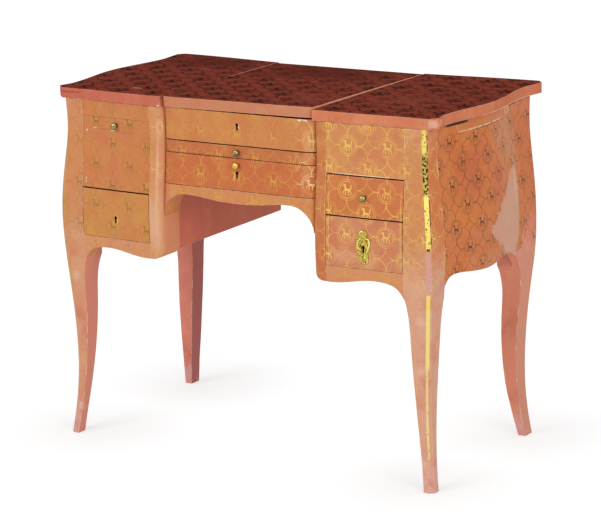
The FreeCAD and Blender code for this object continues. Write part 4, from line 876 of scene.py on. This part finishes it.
# %% [markdown]
# The metals: small turned brass knobs gone green and brown in the hollows, a cast and gilt
# escutcheon, iron locks and brass hinges. A metal is its own colour and its roughness, so the only
# difference between them is the tint, how much oxide it carries and how far it is polished.

# %% Metals
METALS = {  # colour, oxide, roughness, grain in millimetres, share of the oxide, and the pieces
    "tarnished_turned_brass": ("a39a5e", "4a4a2c", 0.32, 3.0, 0.5,
                               ["left_upper_knob", "slide_knob", "right_upper_knob"]),
    "rubbed_turned_brass": ("d9b24e", "7a6a2c", 0.28, 3.0, 0.3, ["centre_drawer_knob"]),
    "shaded_cast_bronze": ("c8b250", "4c3c14", 0.44, 2.0, 0.42, ["escutcheon"]),
    "hinge_brass": ("b99b52", "5c4a24", 0.4, 4.0, 0.4,
                    [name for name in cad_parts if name.endswith("_hinge_leaves")]),
    "forged_lock_iron": ("5c5751", "2b2724", 0.55, 4.0, 0.5,
                         [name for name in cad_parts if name.endswith(("_lock", "_bolt"))]),
}


def metal(name, colour, dark, roughness, grain, share):
    """A metal with darker oxide in clouds of a grain in millimetres, over a share of it."""
    made, tree = blank(bpy.data.materials, name)
    cloud = noise(tree, coordinates(tree)[0], 1 / grain, 5.0)
    oxide = beyond(tree, cloud, 0.72 - share * 0.5, 0.86 - share * 0.5)
    surface(tree, mixed(tree, oxide, colour, dark), roughness, cloud, 0.3, 0.15, Metallic=1.0)
    return made


for name, (*look, pieces) in METALS.items():
    dress(metal(name, *look), *pieces)
gilt_bronze = metal("gilt_cast_bronze", "f8ee90", "9a7f2c", 0.34, 2.0, 0.15)
print("metals", len(METALS) + 1)

# %% [markdown]
# Old mirror glass is silvered at the back and has gone faintly grey in places. It is a metal that
# reflects nearly everything, with almost no roughness.

# %% Mirror glass
dress(metal("silvered_mirror_glass", "e6e9ea", "c9cdcc", 0.03, 60.0, 0.1), "mirror_glass")

# %% [markdown]
# The escutcheon is cast in the rococo way: C-scrolls of unequal size around the keyhole, a shell at
# the top and a drooping leaf at the foot. The flat plate comes from the construction. Its
# relief is a set of curves with a round section that swells and thins, laid on the drawer front, so
# each point asks the front how far forward it is.

# %% Scrolls of the escutcheon
drawer_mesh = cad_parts["right_lower_drawer_front"].data
front_skin = BVHTree.FromPolygons([corner.co for corner in drawer_mesh.vertices],
                                  [face.vertices for face in drawer_mesh.polygons])
plate_low, plate_high = (Vector(corner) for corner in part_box("escutcheon"))
plate_middle, plate_half = (plate_low + plate_high) / 2, (plate_high - plate_low) / 2
STAND_OFF, SCROLL_THICK = 1.0 * MM, 1.25 * MM
SCROLLS = [  # points in shares of the plate's half width and half height, each with its thickness
    [(-0.30, 0.50, 1.0), (-0.72, 0.42, 1.2), (-0.86, 0.10, 1.3), (-0.62, -0.18, 1.1), (-0.30, -0.10, 0.8)],
    [(0.25, 0.46, 0.8), (0.60, 0.56, 1.2), (0.90, 0.38, 1.4), (0.82, 0.05, 1.3), (0.52, -0.22, 1.2),
     (0.44, -0.46, 1.0), (0.10, -0.52, 0.7)],
    [(-0.10, 0.55, 0.7), (-0.45, 0.66, 1.0), (-0.52, 0.84, 1.0), (-0.22, 0.95, 1.1), (0.18, 0.86, 1.0),
     (0.34, 0.66, 0.9), (0.10, 0.58, 0.7)],
    [(-0.08, 0.90, 0.7), (-0.04, 0.72, 1.0), (0.02, 0.58, 0.8)],
    [(-0.24, -0.14, 0.7), (-0.34, -0.36, 1.0), (-0.22, -0.54, 1.1), (0.06, -0.60, 0.8)],
    [(-0.42, -0.50, 0.7), (-0.52, -0.66, 1.0), (-0.24, -0.74, 1.1), (0.02, -0.86, 1.0), (0.22, -0.96, 0.7)],
    [(0.14, -0.56, 0.7), (0.46, -0.62, 1.1), (0.62, -0.78, 1.0), (0.44, -0.93, 0.8)],
    [(-0.90, -0.20, 0.7), (-0.74, -0.36, 0.9), (-0.46, -0.32, 0.7)],
]


def on_drawer(across, up):
    """A point on the drawer's face, from shares of the plate."""
    start = Vector((plate_middle.x + across * plate_half.x, plate_low.y - 0.05,
                    plate_middle.z + up * plate_half.z))
    return front_skin.ray_cast(start, Vector(TO_BACK))[0] - Vector((0.0, STAND_OFF, 0.0))


scrolls = bpy.data.curves.new("escutcheon_scrolls", "CURVE")
scrolls.dimensions = "3D"
scrolls.bevel_depth = SCROLL_THICK
scrolls.bevel_resolution = 3
scrolls.use_fill_caps = True
for points in SCROLLS:
    line = scrolls.splines.new("NURBS")
    line.points.add(len(points) - 1)
    for point, (across, up, thick) in zip(line.points, points):
        point.co = (*on_drawer(across, up), 1.0)
        point.radius = thick
    line.order_u = 3
    line.use_endpoint_u = True
relief = bpy.data.objects.new("escutcheon_scrolls", scrolls)
bpy.context.scene.collection.objects.link(relief)
scrolls.materials.append(gilt_bronze)
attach(relief, "right_lower_drawer")
print("scrolls", len(SCROLLS), "on a plate of", [round(side / MM, 1) for side in plate_half * 2], "mm")

# %% [markdown]
# The studio is a sheet of white paper. The camera sees paper and room as nearly white,
# with a faint shadow kept in the paper around the feet, and so do the metals and the mirror.

# %% Floor and world
FLOOR_HALF = 14.0
PAPER, PAPER_WHITE = "fafafa", 1.06
FOOT, SHADED, CLEAR, SHADED_GLOW = (0.42, 0.21, 0.0), 0.02, 0.32, 0.56

floor_mesh = bpy.data.meshes.new("floor")
corners = [(x * FLOOR_HALF, y * FLOOR_HALF, 0.0) for x, y in ((-1, -1), (1, -1), (1, 1), (-1, 1))]
floor_mesh.from_pydata(corners, [], [(0, 1, 2, 3)])
floor = bpy.data.objects.new("floor", floor_mesh)
bpy.context.scene.collection.objects.link(floor)


def seen_directly(tree):
    """1 for the rays that come from the camera, straight or by a mirror or through glass."""
    rays = node(tree, "ShaderNodeLightPath").outputs
    return either(tree, *[rays[f"Is {kind} Ray"] for kind in ("Camera", "Glossy", "Transmission")])


WHITE = (1.0, 1.0, 1.0, 1.0)
paper, tree = blank(bpy.data.materials, "white_paper")
matt = node(tree, "ShaderNodeBsdfDiffuse", paint(PAPER))
glow = node(tree, "ShaderNodeEmission", WHITE, PAPER_WHITE)
quarter_floor = vectors(tree, "ABSOLUTE", node(tree, "ShaderNodeTexCoord").outputs["Object"])
from_foot = length(tree, vectors(tree, "SUBTRACT", quarter_floor, FOOT))
shown = node(tree, "ShaderNodeMixShader", node(tree, RANGE, from_foot, SHADED, CLEAR, SHADED_GLOW, 1.0),
             matt, glow)
node(tree, "ShaderNodeOutputMaterial", node(tree, "ShaderNodeMixShader", seen_directly(tree), matt, shown))
floor_mesh.materials.append(paper)

ROOM_LIGHT = 0.46
world, tree = blank(bpy.data.worlds, "studio")
bpy.context.scene.world = world
soft, white = (node(tree, "ShaderNodeBackground", WHITE, light) for light in (ROOM_LIGHT, PAPER_WHITE))
node(tree, "ShaderNodeOutputWorld", node(tree, "ShaderNodeMixShader", seen_directly(tree), soft, white))
print("paper", 2 * FLOOR_HALF, "m wide")

# %% [markdown]
# Two large soft lamps stand in front, the stronger at the left, and a third hangs over the table.
# They are set so that a colour renders about as it is written.

# %% Lamps
LAMPS_AIM = Vector((0.0, 0.0, 0.45))
LAMPS = {  # place, size and power in watts
    "key": ((-1.4, -3.6, 3.4), 2.2, 80.0),
    "fill": ((3.8, -2.2, 2.4), 2.4, 70.0),
    "overhead": ((0.0, 0.6, 3.8), 2.6, 32.0),
}
for name, (place, size, power) in LAMPS.items():
    lamp = bpy.data.objects.new(name, bpy.data.lights.new(name, "AREA"))
    lamp.data.energy = power
    lamp.data.size = size
    lamp.location = place
    lamp.rotation_euler = (LAMPS_AIM - Vector(place)).to_track_quat("-Z", "Y").to_euler()
    bpy.context.scene.collection.objects.link(lamp)
bpy.context.scene.view_settings.view_transform = "Standard"
print("lamps", {name: power for name, (_, _, power) in LAMPS.items()})
